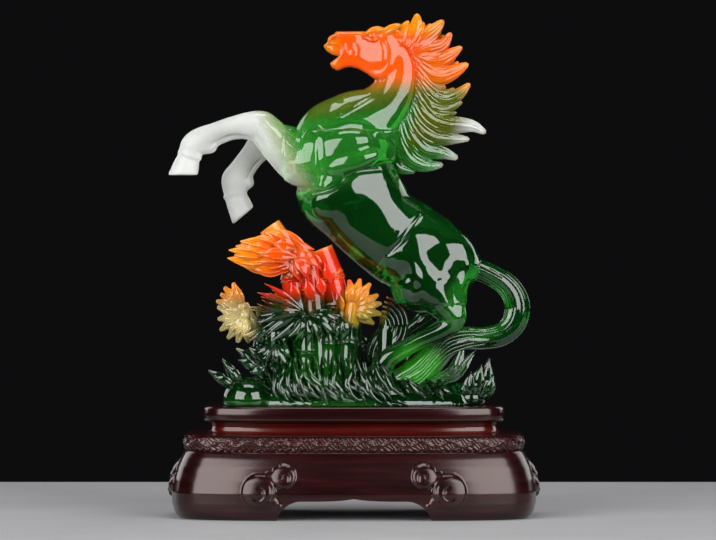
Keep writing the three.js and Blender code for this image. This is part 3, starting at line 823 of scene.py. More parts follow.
# Leaves of the upper left bunch: root x and z, tip x and z, half width, bow, Y
LEFT_LEAVES = [
    (-47, 201, -66, 212, 4.6, 2.0, -22), (-48, 199, -76, 207.5, 4.8, 2.0, -19),
    (-50, 198, -84.5, 205.6, 4.6, 1.5, -23), (-50, 196, -88, 202, 4.8, 1.0, -18),
    (-51, 194, -93, 199, 4.8, 1.0, -24), (-52, 192, -89, 195.5, 5.0, 0.5, -19),
    (-52, 190, -94, 193, 5.2, -1.0, -23), (-52, 188.5, -86, 189.8, 5.2, -2.0, -19),
    (-50, 188, -76, 186.5, 4.8, -2.5, -24), (-46, 192, -63, 185.5, 4.6, -2.0, -22),
    (-44, 200, -60, 203, 4.4, 1.0, -26), (-45, 194, -70, 196, 4.6, 0.5, -27),
    (-55, 214, -33, 200, 4.0, 1.5, -17), (-54, 209, -30, 194, 4.2, 1.5, -20),
    (-52, 203, -28, 188, 4.2, 1.0, -22), (-50, 198, -31, 181, 4.2, 0.5, -23),
    (-48, 192, -36, 176, 4.0, 0.0, -23),
]
# In the same order: small leaves over that bunch, thin shoots on the stalks, the leaves round the
# boulder, and those right of the tail
OVER_LEAVES = [
    (-50, 205, -63, 212, 2.6, 1.0, -25.5), (-56, 202, -72, 208, 2.8, 1.0, -26),
    (-60, 198, -78, 203.5, 2.8, 1.0, -26), (-68, 197, -86, 200, 2.6, 0.5, -26),
    (-57, 194.5, -75, 197.5, 2.8, 0.5, -27), (-70, 193, -89, 195, 2.6, 0.0, -26),
    (-56, 191, -73, 190.8, 2.8, -0.5, -27), (-66, 189.6, -82, 189.4, 2.6, -1.0, -26),
    (-52, 188, -67, 185.4, 2.6, -1.0, -25.5),
]
SHOOTS = [
    (-17.5, 175, -22, 190, 3.6, 0.5, -21.5), (-31, 161, -36, 178, 3.8, 0.5, -25),
    (-9, 154, -13, 168, 3.4, 0.5, -23), (-42, 160, -47, 175, 3.6, 0.5, -24),
    (-24, 184, -33, 199, 3.8, 0.0, -19), (-23, 166, -27, 180, 3.4, 0.5, -25),
]
LOW_LEAVES = [
    (-92, 96, -108.5, 109, 3.4, 1.5, -16), (-90, 98, -104, 104, 3.2, 1.0, -20),
    (-88, 99, -98, 117.5, 3.4, 1.5, -15), (-85, 101, -94, 112, 3.2, 1.0, -21),
    (-74, 112, -87.5, 125.5, 3.4, 1.5, -16), (-72, 110, -86, 117, 3.2, 1.0, -21),
    (-68, 116, -78, 126, 3.2, 1.0, -22), (-66, 112, -77, 108, 3.2, -1.0, -24),
]
RIGHT_LEAVES = [
    (93, 88, 101, 118, 4.8, 1.5, -7), (91, 88, 95.5, 113, 4.8, -1.0, -10),
    (89.5, 88, 87.6, 108, 4.6, -1.5, -12), (87, 88, 83, 100.5, 4.2, -1.0, -10),
    (95, 88, 103.6, 106, 4.4, 1.5, -9),
]
# Root, length, first and last direction, number of leaves, half width
LEAF_FANS = [
    ([-52, -16, 205], 28, -170, -128, 8, 3.4), ([-45, -25, 194], 22, -170, -110, 7, 3.2),
    ([-36, -25, 152], 38, 14, 36, 8, 2.4), ([-36, -25, 152], 42, -8, 16, 9, 2.4),
    ([-36, -27, 153], 36, -42, 0, 12, 2.4), ([-35, -28, 152], 24, -130, -40, 14, 2.2),
    ([-34, -28, 153], 28, -178, -124, 10, 2.4), ([-61, -25, 146], 24, -130, -30, 13, 2.3),
    ([-10, -24, 151], 20, -110, -40, 9, 2.3), ([-57, -26, 130], 20, -130, -20, 12, 2.2),
    ([-34, 22, 150], 34, -170, -10, 15, 3.0), ([-62, 17, 136], 24, -150, 10, 9, 2.8),
    ([-4, 17, 136], 24, -170, -30, 9, 2.8),
]


def flat_leaves(rows, forwards, thickness, lean, sides, rings, **details):
    """One leaf for each row of a table, its tip some way in front of its root."""
    return [
        leaf([x0, y, z0], [x1, y - forwards, z1], half, thickness, bow, lean, sides, rings, **details)
        for x0, z0, x1, z1, half, bow, y in rows
    ]


def foliage():
    """All leaves, and a ball that backs the upper left bunch."""
    leaves = flat_leaves(LEFT_LEAVES, 2, 1.5, -2.0, 26, 16, ribs=6)
    leaves += flat_leaves(OVER_LEAVES, 0, 2.2, -1.5, 18, 14, ribs=4)
    leaves.append(ball([-66, -18, 199], [19, 4, 9], 32, 24, 12))
    leaves += flat_leaves(LOW_LEAVES, 1, 2.4, -1.5, 22, 16, blunt=0.2, ribs=5)
    leaves += flat_leaves(SHOOTS, 1, 1.0, -1.0, 12, 14, blunt=0.04)
    leaves += flat_leaves(RIGHT_LEAVES, 1, 3.2, -2.0, 26, 18, ribs=6)
    for fan in LEAF_FANS:
        leaves += leaf_fan(*fan)
    return leaves


def flower(base, length, first, last, count):
    """A flower seen from the side: two layers of grooved petals that open from one base."""
    base = np.asarray(base, float)
    petals = [ball(base, [5, 5, 5], 20, 14)]
    for layer, shortening in enumerate((1.0, 0.76)):
        for i in range(count):
            share = (i + 0.5 * layer) / (count - 1 + 0.5 * layer)
            angle = math.radians(first + (last - first) * share + random.uniform(-3, 3))
            way = np.array([-math.cos(angle), 0, math.sin(angle)])
            reach = length * shortening * random.uniform(0.94, 1.05)
            tip = base + way * reach + [0, 4 - 9 * layer, 0]
            petals.append(leaf(
                base + way * 1.5, tip, 4.0, 2.2, random.uniform(-1, 1), -3.0, 20, 16, blunt=0.3, ribs=7
            ))
    return petals


def flowers():
    """The left flower in two clumps, and the right one."""
    return (
        flower([-84, -17, 156.5], 19, 12, 72, 4)
        + flower([-82, -19, 150], 20, -100, 16, 6)
        + flower([-1, -21, 156.5], 21, 84, 218, 7)
    )


def grass():
    """Blades that hang over the mound in front and behind, and upright ones under the horse."""
    blades = []
    for row in range(2):
        for i in range(30):
            x = -60 + 80 * (i + 0.5 * row) / 29 + random.uniform(-2, 2)
            root = [x, random.uniform(-28, -24), random.uniform(108, 122) - 8 * row]
            tip = [x + random.uniform(4, 22), random.uniform(-41, -38), STAND_TOP + random.uniform(1, 8)]
            blades.append(leaf(
                root, tip, random.uniform(1.6, 2.6), 2.2, random.uniform(1, 6), -5,
                14, 20, wave=random.uniform(-3, 3),
            ))
    for i in range(30):
        x = -74 + 5.6 * i + random.uniform(-2, 2)
        root = [x, random.uniform(18, 24), random.uniform(96, 116) - 0.1 * abs(x + 20)]
        tip = [x + random.uniform(-14, 6), random.uniform(36, 40), STAND_TOP + random.uniform(1, 8)]
        blades.append(leaf(root, tip, random.uniform(1.8, 2.8), 2.2, random.uniform(-5, 0), 4, 12, 16))
    for i in range(14):
        x = 18 + 4.0 * i + random.uniform(-1, 1)
        root = [x - 6, random.uniform(-22, -8), random.uniform(98, 104)]
        tip = [x + random.uniform(2, 12), random.uniform(-38, -28), STAND_TOP + random.uniform(2, 10)]
        blades.append(leaf(root, tip, random.uniform(1.6, 2.8), 1.2, random.uniform(-2, 2), -2))
    for i in range(9):
        x = 17 + 3.2 * i
        tip = [x + 12 - 0.6 * i, 2, 150 - 2.2 * i]
        blades.append(leaf([x - 7, -2 - (i % 3), 104], tip, 2.6, 2.4, -6 + 0.4 * i, -3, 12, 14))
    return blades + plume()


def plume():
    """Nested curls that hang between the right flower and the hind leg."""
    curls = []
    middle = np.array([21.0, -8.0, 143.0])
    for i in range(5):
        radius = 5.5 + 3.2 * i
        turn = np.radians(np.linspace(95 - 4 * i, -62 + 3 * i, 7))
        curl = [np.cos(turn) * radius, np.full(7, -0.6 * i), np.sin(turn) * radius * 1.15]
        path = middle + np.stack(curl, -1)
        size = 1.5 * np.array([0.5, 0.85, 1.0, 1.0, 1.0, 0.8, 0.4])
        curls.append(sweep(np.column_stack([path, size, size * 1.2]), 14, 30))
    stem = [[20, -6, 100, 7, 6], [25, -6, 120, 8, 6], [27, -5, 138, 9, 5], [24, -4, 152, 5, 4]]
    return curls + [sweep(stem, 24, 30)]


def mound_clay():
    """The mound, its boulder at the left, and the bank below the bamboo."""
    clay = Clay([-112, -46, 78], [108, 46, 172], 1.2)
    clay.add(ball([-3, 0, STAND_TOP - 3], [97, 41, 27]))
    clay.add(ball([-79, -17, 88], [19, 21, 17]), 1.5)
    clay.add(ball([60, -2, 89], [32, 18, 14]), 4)
    clay.add(ball([88, -4, 88], [11, 14, 9]), 2)
    clay.add(ball([-36, 1, 124], [40, 12, 40]), 5)
    clay.add(ball([-20, 14, 94], [60, 20, 17]), 6)
    clay.cut(block([-200, -100, 40], [200, 100, STAND_TOP]))
    return clay


def bamboo_and_grass():
    """The mound with all that grows on it, cut off level on the stand."""
    thing = make_object("bamboo_and_grass", mound_clay().form(4))
    for forms in (bamboo(), foliage(), flowers(), grass()):
        unite(thing, forms)
    unite(thing, [all_below(STAND_TOP)], "DIFFERENCE")
    finish_surface(thing, sharp_degrees=40)
    return thing


# The stand

def plan_outline(half_length, half_depth, count):
    """Points evenly spaced round the stand's plan, the direction outwards at each, and the way along it."""
    angle = np.linspace(-math.pi, math.pi, 24001)
    size = np.array([half_length, half_depth])
    turn = np.stack([np.cos(angle), np.sin(angle)], -1)
    dense = np.sign(turn) * np.abs(turn) ** (2 / PLAN_POWER) * size
    lengths = np.concatenate([[0], np.cumsum(np.linalg.norm(np.diff(dense, axis=0), axis=1))])
    place = (np.arange(count) + 0.5) / count * lengths[-1]
    points = np.stack([np.interp(place, lengths, dense[:, k]) for k in (0, 1)], -1)
    outwards = normalised(np.sign(points) * np.abs(points / size) ** (PLAN_POWER - 1) / size)
    return points, outwards, place


def hollow(distance, half_width):
    """The section of a round groove: one in its middle, nought at its edges."""
    return np.clip(1 - (distance / half_width) ** 2, 0, 1) ** 0.75


# Cloud scrolls on the front: middle in x and z, radius, and height of each boss
SCROLL_BOSSES = [(70.0, 21.5, 12.6, 2.6), (51.5, 33.0, 8.8, 2.2), (61.5, 31.0, 4.6, 1.4)]
# The small beads at the scroll's foot: middle in x and z, and radius
SCROLL_TAIL = [(60.0, 13.5, 4.2), (55.5, 10.0, 3.0)]
# Hooks cut into the bosses: middle in x and z, radius, and the angles where each starts and ends
SCROLL_HOOKS = [(70.5, 20.0, 4.2, -150, 100), (70.0, 21.5, 9.6, -60, 40), (50.5, 31.5, 3.2, -60, 170)]


def front_relief(x, z):
    """Smooth raised cloud scrolls with a thin edge and a hooked eye, at both ends of the front."""
    rise = np.zeros(x.shape)
    across = np.abs(x)
    for middle_x, middle_z, radius, high in SCROLL_BOSSES:
        away = np.hypot(across - middle_x, z - middle_z) / radius
        dome = 0.45 * ramp(-away, -1.02, -0.93) + 0.55 * np.sqrt(np.clip(1 - away ** 2, 0, 1))
        rise = np.maximum(rise, high * dome)
    for middle_x, middle_z, radius in SCROLL_TAIL:
        away = np.hypot(across - middle_x, z - middle_z) / radius
        rise = np.maximum(rise, 1.3 * np.sqrt(np.clip(1 - away ** 2, 0, 1)))
    for middle_x, middle_z, radius, start, end in SCROLL_HOOKS:
        aside, up = across - middle_x, z - middle_z
        angle = np.degrees(np.arctan2(up, -aside))
        within = ramp(angle, start, start + 25) * ramp(-angle, -end, 25 - end)
        rise = rise - 0.7 * hollow(np.hypot(aside, up) - radius, 0.9) * within * (rise > 0.3)
    return rise


# Length of a wave of the band's scroll, of a scallop and of a rib
BAND_PERIOD = 21.0
SCALLOP_PITCH = 5.4
RIB_PITCH = 2.6


def band_relief(along, z):
    """A running scroll among ribbed leaves, on a plate with a scalloped lower edge."""
    above = z - (BAND_LOW + BAND_HIGH) / 2 - 0.6
    scallop = BAND_LOW + 1.5 * (1 - np.abs(np.sin(math.pi * along / SCALLOP_PITCH)))
    plate = ramp(z, scallop - 0.1, scallop + 0.5)
    stem = 1.9 * np.sin(2 * math.pi * along / BAND_PERIOD)
    from_stem = np.abs(above - stem)
    slant = np.where(above > stem, 0.9, -0.9)
    ribs = np.abs(np.sin(math.pi * (along + slant * from_stem) / RIB_PITCH))
    eye = np.hypot(np.mod(along + BAND_PERIOD / 4, BAND_PERIOD / 2) - BAND_PERIOD / 4, above)
    rise = 1.0 + 0.8 * ribs * ramp(from_stem, 0.7, 1.4)
    rise += 1.3 * hollow(from_stem, 1.1) + 0.7 * hollow(eye - 1.2, 0.9)
    return rise * plate


# Lobes of the ornament on each end: middle in y and z, half sizes, height
END_LOBES = [(0, 32, 10, 11, 4.0), (-13, 25, 9, 7, 3.6), (13, 25, 9, 7, 3.6), (0, 20, 6, 6, 4.0)]


def end_relief(y, z):
    """A raised four-lobed ornament with spiral grooves on each end."""
    rise = np.zeros(y.shape)
    for middle_y, middle_z, half_width, half_height, high in END_LOBES:
        away = np.hypot((y - middle_y) / half_width, (z - middle_z) / half_height)
        angle = np.arctan2(z - middle_z, y - middle_y)
        curl = 0.5 + 0.5 * np.cos(2 * math.pi * (away * 1.6 - angle / (2 * math.pi)))
        dome = np.sqrt(np.clip(1 - away ** 2, 0, 1))
        rise = np.maximum(rise, (high - 0.9 * curl * (away > 0.15)) * dome)
    return rise


# Inset from the belly and height, down the stand's profile, with the number of rows to the next
STAND_PROFILE = [
    [27.0, 83.0, 2], [25.0, 82.7, 2], [23.9, 81.4, 3], [23.4, 77.0, 3], [23.7, 72.8, 2], [24.8, 71.3, 2],
    [27.4, 70.8, 4], [29.6, 67.6, 4], [28.8, 64.4, 3], [26.6, 62.7, 5], [11.6, 62.3, 2], [10.5, 61.5, 2],
    [11.0, 60.7, 1], [11.2, 60.3, 17], [11.0, 50.8, 2], [9.4, 49.4, 4], [7.4, 45.6, 5], [4.4, 38.6, 7],
    [1.6, 29.0, 9], [0.1, 20.0, 9], [0.2, 12.0, 6], [1.5, 6.2, 3], [3.8, 2.2, 2], [6.0, 0.4, 1],
    [7.4, 0.0, 0],
]
# Where the carved band starts and ends in that profile
BAND_LOW, BAND_HIGH = 50.8, 60.3
# How far the front and back draw in towards the ends
FRONT_BOW = 3.5


def stand_form():
    """The stand without its arches: rings down the profile, pushed out by the carving."""
    columns = 900
    rows = []
    for here, after in zip(STAND_PROFILE, STAND_PROFILE[1:]):
        for k in range(here[2]):
            t = k / here[2]
            rows.append([here[0] + (after[0] - here[0]) * t, here[1] + (after[1] - here[1]) * t])
    rows.append(STAND_PROFILE[-1][:2])
    rings = []
    for inset, z in rows:
        points, outwards, place = plan_outline(STAND_HALF_LENGTH - inset, STAND_HALF_DEPTH - inset, columns)
        heights = np.full(columns, z)
        rise = np.zeros(columns)
        if BAND_LOW <= z <= BAND_HIGH:
            rise += band_relief(place, heights)
        if z < 50:
            on_front = (points[:, 1] < 0) & (np.abs(points[:, 0]) < 96)
            rise[on_front] += front_relief(points[on_front, 0], heights[on_front])
            on_end = np.abs(outwards[:, 0]) > 0.96
            rise[on_end] += end_relief(points[on_end, 1], heights[on_end])
        points = points + outwards * rise[:, None]
        points[:, 1] *= 1 - FRONT_BOW / STAND_HALF_DEPTH * (points[:, 0] / STAND_HALF_LENGTH) ** 2
        rings.append(np.column_stack([points, heights]))
    triangles, quads = tube_faces(len(rings), columns)
    poles = [[0, 0, STAND_TOP], [0, 0, 0]]
    return closed_form(np.vstack(rings + [poles]), triangles, quads)


def arch_form(half_width, height, cusp, reach, along_x):
    """The opening under an ogee arch, as a prism."""
    t = np.linspace(0, 1, 13)[:, None]

    def bezier(a, b, c, d):
        a, b, c, d = (np.array(p, float) for p in (a, b, c, d))
        return (1 - t) ** 3 * a + 3 * t * (1 - t) ** 2 * b + 3 * t ** 2 * (1 - t) * c + t ** 3 * d

    bend = half_width * 0.68
    right = np.vstack([
        bezier(
            [half_width, 0], [half_width * 0.97, height * 0.45], [half_width * 0.86, height], [bend, height],
        ),
        bezier([bend, height], [bend * 0.6, height], [bend * 0.25, height], [0, height + cusp])[1:],
    ])
    left = right[-2::-1] * [-1, 1]
    outline = np.vstack([[[half_width, -2]], right, left, [[-half_width, -2]]])
    n = len(outline)
    near = np.column_stack([outline[:, 0], np.full(n, -reach), outline[:, 1]])
    far = near * [1, -1, 1]
    points = np.vstack([near, far])
    if along_x:
        points = points[:, [1, 0, 2]]
    k = np.arange(n)
    quads = np.stack([k, (k + 1) % n, (k + 1) % n + n, k + n], -1)
    fan = np.array([[0, i, i + 1] for i in range(1, n - 1)])
    return closed_form(points, np.vstack([fan[:, ::-1], fan + n]), quads)


def wood_stand():
    """The stand with an arch cut through from front to back and one from end to end."""
    thing = make_object("wood_stand", stand_form())
    unite(thing, [arch_form(57, 14.5, 2.0, 100, False), arch_form(26, 11, 0, 200, True)], "DIFFERENCE")
    finish_surface(thing, sharp_degrees=50)
    return thing


# Colours of the glass, by place in millimetres

ORANGE = (0.94, 0.095, 0.004)
AMBER = (0.95, 0.30, 0.008)
STRAW = (0.74, 0.62, 0.26)
OLIVE = (0.13, 0.19, 0.018)
LOCK_OLIVE = (0.15, 0.18, 0.006)
RED = (0.80, 0.028, 0.006)
BRIGHT_GREEN = (0.030, 0.30, 0.028)
DEEP_GREEN = (0.005, 0.090, 0.010)
DARK_GREEN = (0.003, 0.050, 0.007)
# Painted glow: a bright green that stands in for light shining through the glass
PAINTED_GLOW_GREEN = (0.05, 0.46, 0.02)
PALE_GREEN = (0.42, 0.62, 0.36)
FROST = (0.78, 0.80, 0.77)
ELBOW_GREEN = (0.07, 0.42, 0.055)
RED_BROWN = (0.16, 0.016, 0.003)
DULL_YELLOW = (0.42, 0.34, 0.035)
# Painted highlight colours for ridges of warm glass and of cool glass
WARM_EDGE_HIGHLIGHT = (0.98, 0.42, 0.10)
COOL_EDGE_HIGHLIGHT = (0.30, 0.44, 0.30)
# How far a point stands out, as a share of the distance to its neighbours, where light catches it
RIDGE_FROM, RIDGE_FULL = 0.10, 0.32


def along_forelegs(x, z):
    """How far out towards the forehooves a place lies, and one where it isn't part of the belly."""
    outward = -x - 0.5 * (z - 262)
    above_belly = np.maximum(ramp(z, 238, 250), ramp(-x, 48, 58))
    return outward, above_belly


def horse_colours(points):
    """Green body, orange head, olive to amber locks, frosted forelegs, a painted green glow that brightens
    the hind hooves and the foot of the tail, and a brighter tail ring.
    """
    x, y, z = points.T
    colour = mix(DEEP_GREEN, BRIGHT_GREEN, ramp(z - 0.42 * x, 242, 268))
    colour = mix(colour, OLIVE, ramp(z - 0.15 * x, 296, 310))
    colour = mix(colour, ORANGE, ramp(z, 313, 335))
    crest = 26 + 0.27 * (z - 255) * (z < 322) + 18 * (z >= 322)
    mane = ramp(x - crest, 2, 12) * ramp(z, 250, 258)
    lock_green = mix(BRIGHT_GREEN, LOCK_OLIVE, ramp(z, 266, 288))
    lock = mix(lock_green, mix(ORANGE, AMBER, 0.25), ramp(z, 314, 332))
    tip = mix(mix(FROST, STRAW, ramp(z, 292, 310)), AMBER, ramp(z, 306, 320))
    lock = mix(lock, tip, ramp(np.hypot(x - 36, (z - 322) * 0.62), 40, 56))
    colour = mix(colour, lock, mane)
    colour = mix(colour, AMBER, ramp(z, 357, 366) * ramp(x, -30, 24))
    colour = mix(colour, AMBER, 0.75 * ramp(-x, 6, 22) * ramp(z, 325, 335))
    outward, above_belly = along_forelegs(x, z)
    leg = ramp(outward, 42, 58) * ramp(-x, 26, 40) * above_belly
    pale = mix(PALE_GREEN, STRAW, 0.3)
    elbow = ramp(outward, 12, 34) * ramp(-x, 10, 28) * ramp(z, 236, 245)
    colour = mix(colour, ELBOW_GREEN, 0.8 * elbow)
    colour = mix(colour, pale, ramp(outward, 32, 48) * ramp(-x, 24, 38) * above_belly)
    colour = mix(colour, FROST, leg)
    depth = 0.594 * (x + 16) + 0.804 * (z - 200)
    belly = ramp(-depth, -11, -3) * ramp(x, -48, -40) * ramp(-x, -8, 10) * ramp(-z, -240, -230)
    colour = mix(colour, RED_BROWN, 0.6 * belly)
    # Painted glow round the lower hind legs and the foot of the tail
    painted_glow = ramp(-np.hypot(x - 48, (z - 112) * 1.1), -27, -10)
    colour = mix(colour, PAINTED_GLOW_GREEN, painted_glow)
    ring = ramp(-np.hypot(x - 92, z - 157), -30, -22)
    return mix(colour, BRIGHT_GREEN, 0.7 * ring)


def frosting(points):
    """How far the glass is etched: the forelegs are, down to a soft edge at the elbow."""
    outward, above_belly = along_forelegs(points[:, 0], points[:, 2])
    return ramp(outward, 42, 66) * ramp(-points[:, 0], 26, 40) * above_belly


def plant_colours(points):
    """Dark green mound and grass with a painted green glow in the middle of the clump and low on the mound,
    red and orange leaves above a ragged border, yellow flowers.
    """
    x, y, z = points.T
    # Painted glow in the middle of the clump
    colour = mix(DARK_GREEN, PAINTED_GLOW_GREEN, 0.3 * ramp(-np.hypot(x + 26, (z - 120) * 1.2), -34, -10))
    # Painted glow low on the mound, in bright green
    colour = mix(colour, BRIGHT_GREEN, 0.6 * ramp(-z, -94, -84) * ramp(-x, -30, -6))
    red = mix(mix(RED_BROWN, RED, ramp(z, 160, 170)), ORANGE, ramp(z - 0.5 * x, 196, 226))
    border = z + 3 * np.sin(0.35 * x) + 2 * np.sin(0.9 * x + 0.5 * y)
    colour = mix(colour, red, ramp(border, 150, 168))
    orange_top = np.maximum(ramp(-x - 0.3 * (z - 195), 56, 88), ramp(z - 0.25 * x, 218, 232))
    colour = mix(colour, AMBER, orange_top * ramp(z, 176, 186))
    left = ramp(-np.hypot(x + 90, (z - 154) * 0.8), -26, -19) * ramp(-x, 69, 80)
    colour = mix(colour, mix(STRAW, AMBER, ramp(z, 154, 168)), left)
    right = ramp(-np.hypot(x - 9, z - 159), -21, -16) * ramp(z, 141, 145) * ramp(-x, -26, -23)
    petals = mix(DULL_YELLOW, AMBER, ramp(z - 0.5 * x, 142, 164))
    return mix(colour, petals, right)


# Materials

def new_material(name):
    """A material whose one shader is the general one, with its nodes and the shader."""
    material = bpy.data.materials.new(name)
    material.use_nodes = True
    tree = material.node_tree
    tree.nodes.clear()
    shader = tree.nodes.new("ShaderNodeBsdfPrincipled")
    output = tree.nodes.new("ShaderNodeOutputMaterial")
    tree.links.new(shader.outputs["BSDF"], output.inputs["Surface"])
    return material, tree, shader


def set_values(node, values):
    """Fixed values on a node's own sockets, by the sockets' names."""
    for name, value in values.items():
        node.inputs[name].default_value = value


def add_node(tree, kind, **settings):
    """A node, with each setting on its socket of that name or else on the node."""
    node = tree.nodes.new(kind)
    for name, value in settings.items():
        if name in node.inputs:
            node.inputs[name].default_value = value
        else:
            setattr(node, name, value)
    return node


def noise(tree, scale, detail, stretch=(1, 1, 1)):
    """Soft noise that is fixed to the object."""
    place = add_node(tree, "ShaderNodeTexCoord")
    mapping = add_node(tree, "ShaderNodeMapping", Scale=stretch)
    texture = add_node(tree, "ShaderNodeTexNoise", Scale=scale, Detail=detail)
    tree.links.new(place.outputs["Object"], mapping.inputs["Vector"])
    tree.links.new(mapping.outputs["Vector"], texture.inputs["Vector"])
    return texture.outputs["Fac"]


def colour_ramp(tree, value, stops):
    """Colours between stops of (place, colour), picked by the value."""
    node = add_node(tree, "ShaderNodeValToRGB")
    ramp_stops = node.color_ramp.elements
    while len(ramp_stops) < len(stops):
        ramp_stops.new(0.5)
    for stop, (place, colour) in zip(ramp_stops, stops):
        stop.position = place
        stop.color = (*colour, 1)
    tree.links.new(value, node.inputs["Fac"])
    return node.outputs["Color"]


def grey_ramp(tree, value, *stops):
    """The same for greys, each stop a place and a brightness."""
    return colour_ramp(tree, value, [(place, (grey, grey, grey)) for place, grey in stops])


def blended(tree, kind, share, first, second):
    """Two colours blended in one of Blender's ways; each input is a socket or a value."""
    node = add_node(tree, "ShaderNodeMix", data_type="RGBA", blend_type=kind)
    sockets = {"A": first, "B": second, "Factor": share}
    for socket in node.inputs:
        if socket.enabled and socket.name in sockets:
            value = sockets[socket.name]
            if isinstance(value, bpy.types.NodeSocket):
                tree.links.new(value, socket)
            else:
                socket.default_value = value
    return next(s for s in node.outputs if s.enabled)


# Glasses from cloudy to clear, and one more that is etched
CLARITY_LEVELS = 9
ETCHED = CLARITY_LEVELS
# Ends of the ranges of transmission, specular level and roughness
CLOUDIEST, CLEAREST = 0.30, 0.78
DULLEST, SHINIEST = 0.22, 0.5
POLISHED, FROSTED = 0.035, 0.48
# The clarity of the etched glass, and the frost from which a face wears it, give or take the scatter
ETCHED_CLARITY = 0.4
ETCHED_FROM, ETCHED_SCATTER = 0.55, 0.7


def clarity_of(colours):
    """Green glass is clear, orange glass is dense with colour, and pale glass lies between."""
    red, green = colours[:, 0], colours[:, 1]
    warm = np.clip((red / (red + green + 0.02) - 0.05) / 0.8, 0, 1)
    bright = 0.4 * ramp(green, 0.12, 0.40)
    return 1 - np.maximum(warm, bright)


def crystal_material(level):
    """Coloured cast glass: colour from the mesh, faint clouds of tint, and etched where it is frosted."""
    material, tree, shader = new_material(f"coloured_glass_{level}")
    tint = add_node(tree, "ShaderNodeAttribute", attribute_name="tint").outputs["Color"]
    clouds = grey_ramp(tree, noise(tree, 26.0, 4.0), (0.3, 0.70), (0.7, 1.18))
    colour = blended(tree, "MULTIPLY", 1.0, tint, clouds)
    tree.links.new(colour, shader.inputs["Base Color"])
    frost = add_node(tree, "ShaderNodeAttribute", attribute_name="frost").outputs["Fac"]
    rough = add_node(tree, "ShaderNodeMapRange")
    set_values(rough, {"To Min": POLISHED, "To Max": FROSTED})
    tree.links.new(frost, rough.inputs["Value"])
    tree.links.new(rough.outputs["Result"], shader.inputs["Roughness"])
    share = level / (CLARITY_LEVELS - 1)
    if level == ETCHED:
        share = ETCHED_CLARITY
        set_values(shader, {"Sheen Weight": 0.7, "Sheen Roughness": 0.35})
    set_values(shader, {
        "Transmission Weight": CLOUDIEST + (CLEAREST - CLOUDIEST) * share,
        "Specular IOR Level": DULLEST + (SHINIEST - DULLEST) * share ** 2,
        "IOR": 1.62,
    })
    return material


def wear(piece, materials):
    """The piece's materials, in the order of their numbers on its faces."""
    piece.data.materials.clear()
    for material in materials:
        piece.data.materials.append(material)


def wear_crystal(piece, glasses, colours, frost):
    """Colours on the mesh, and for each face the glass whose clarity suits its colour."""
    # The tint holds the glass colours with their painted glow and painted highlight and shade on edges
    paint(piece, "tint", colours)
    paint(piece, "frost", np.repeat(frost[:, None], 3, 1))
    wear(piece, glasses)
    mesh = piece.data
    scatter = random.uniform(-0.5, 0.5, len(colours))
    clarity = clarity_of(colours) + scatter / CLARITY_LEVELS
    levels = np.clip(np.round(clarity * (CLARITY_LEVELS - 1)), 0, CLARITY_LEVELS - 1).astype(np.int32)
    levels[frost + ETCHED_SCATTER * scatter > ETCHED_FROM] = ETCHED
    first_points = np.empty(len(mesh.polygons), np.int32)
    corners = np.empty(len(mesh.loops), np.int32)
    mesh.polygons.foreach_get("loop_start", first_points)
    mesh.loops.foreach_get("vertex_index", corners)
    mesh.polygons.foreach_set("material_index", levels[corners[first_points]])


def lacquer_material():
    """Dark burgundy lacquer over fine grain, redder where the mesh says that it is thin."""
    material, tree, shader = new_material("burgundy_lacquer")
    grain = noise(tree, 34.0, 6.0, (0.6, 4.0, 9.0))
    wood = colour_ramp(tree, grain, [
        (0.25, (0.005, 0.0008, 0.0010)), (0.55, (0.013, 0.0016, 0.0020)), (0.85, (0.032, 0.0034, 0.0040)),
    ])
    red = colour_ramp(tree, grain, [(0.25, (0.050, 0.003, 0.002)), (0.8, (0.11, 0.008, 0.005))])
    thin = add_node(tree, "ShaderNodeAttribute", attribute_name="tint").outputs["Fac"]
    tree.links.new(blended(tree, "MIX", thin, wood, red), shader.inputs["Base Color"])
    smear = grey_ramp(tree, noise(tree, 12.0, 3.0), (0.3, 0.16), (0.8, 0.23))
    tree.links.new(smear, shader.inputs["Roughness"])
    bump_node = add_node(tree, "ShaderNodeBump", Strength=0.05, Distance=0.0004)
    tree.links.new(noise(tree, 60.0, 4.0, (0.4, 2.0, 6.0)), bump_node.inputs["Height"])
    tree.links.new(bump_node.outputs["Normal"], shader.inputs["Normal"])
    set_values(shader, {
        "Specular Tint": (1.0, 0.84, 0.80, 1.0), "Coat Weight": 0.05, "Coat Roughness": 0.12, "IOR": 1.5,
    })
    return material


def floor_material():
    """Plain pale paper with faint clouds."""
    material, tree, shader = new_material("pale_floor")
    paper = colour_ramp(tree, noise(tree, 8.0, 4.0), [(0.3, (0.33, 0.33, 0.34)), (0.7, (0.37, 0.37, 0.38))])
    tree.links.new(paper, shader.inputs["Base Color"])
    set_values(shader, {"Roughness": 0.5})
    return material


# Stage, lights and camera

# In metres and degrees, but for the photograph's scale and width and the world's colour
CAMERA_DISTANCE = 3.2
CAMERA_LIFT_DEGREES = 0.55
AIM = (0.003, 0.0, 0.184)
LIGHT_AIM = (0.0, 0.0, 0.2)
NEARLY_BLACK = (0.004, 0.004, 0.0045, 1.0)
MM_PER_PIXEL = 0.75
FRAME_WIDTH_PIXELS = 716


def add_camera():
    """The photograph's view: far off, aimed near the middle of the figure, looking a little down."""
    data = bpy.data.cameras.new("camera")
    data.sensor_width = 36.0
    data.lens = data.sensor_width * CAMERA_DISTANCE / (MM_PER_PIXEL * MM * FRAME_WIDTH_PIXELS)
    data.clip_end = 50
    camera = bpy.data.objects.new("camera", data)
    lift = math.radians(CAMERA_LIFT_DEGREES)
    camera.location = (
        AIM[0],
        AIM[1] - CAMERA_DISTANCE * math.cos(lift),
        AIM[2] + CAMERA_DISTANCE * math.sin(lift),
    )
    camera.rotation_euler = (math.pi / 2 - lift, 0, 0)
    bpy.context.scene.collection.objects.link(camera)
    bpy.context.scene.camera = camera


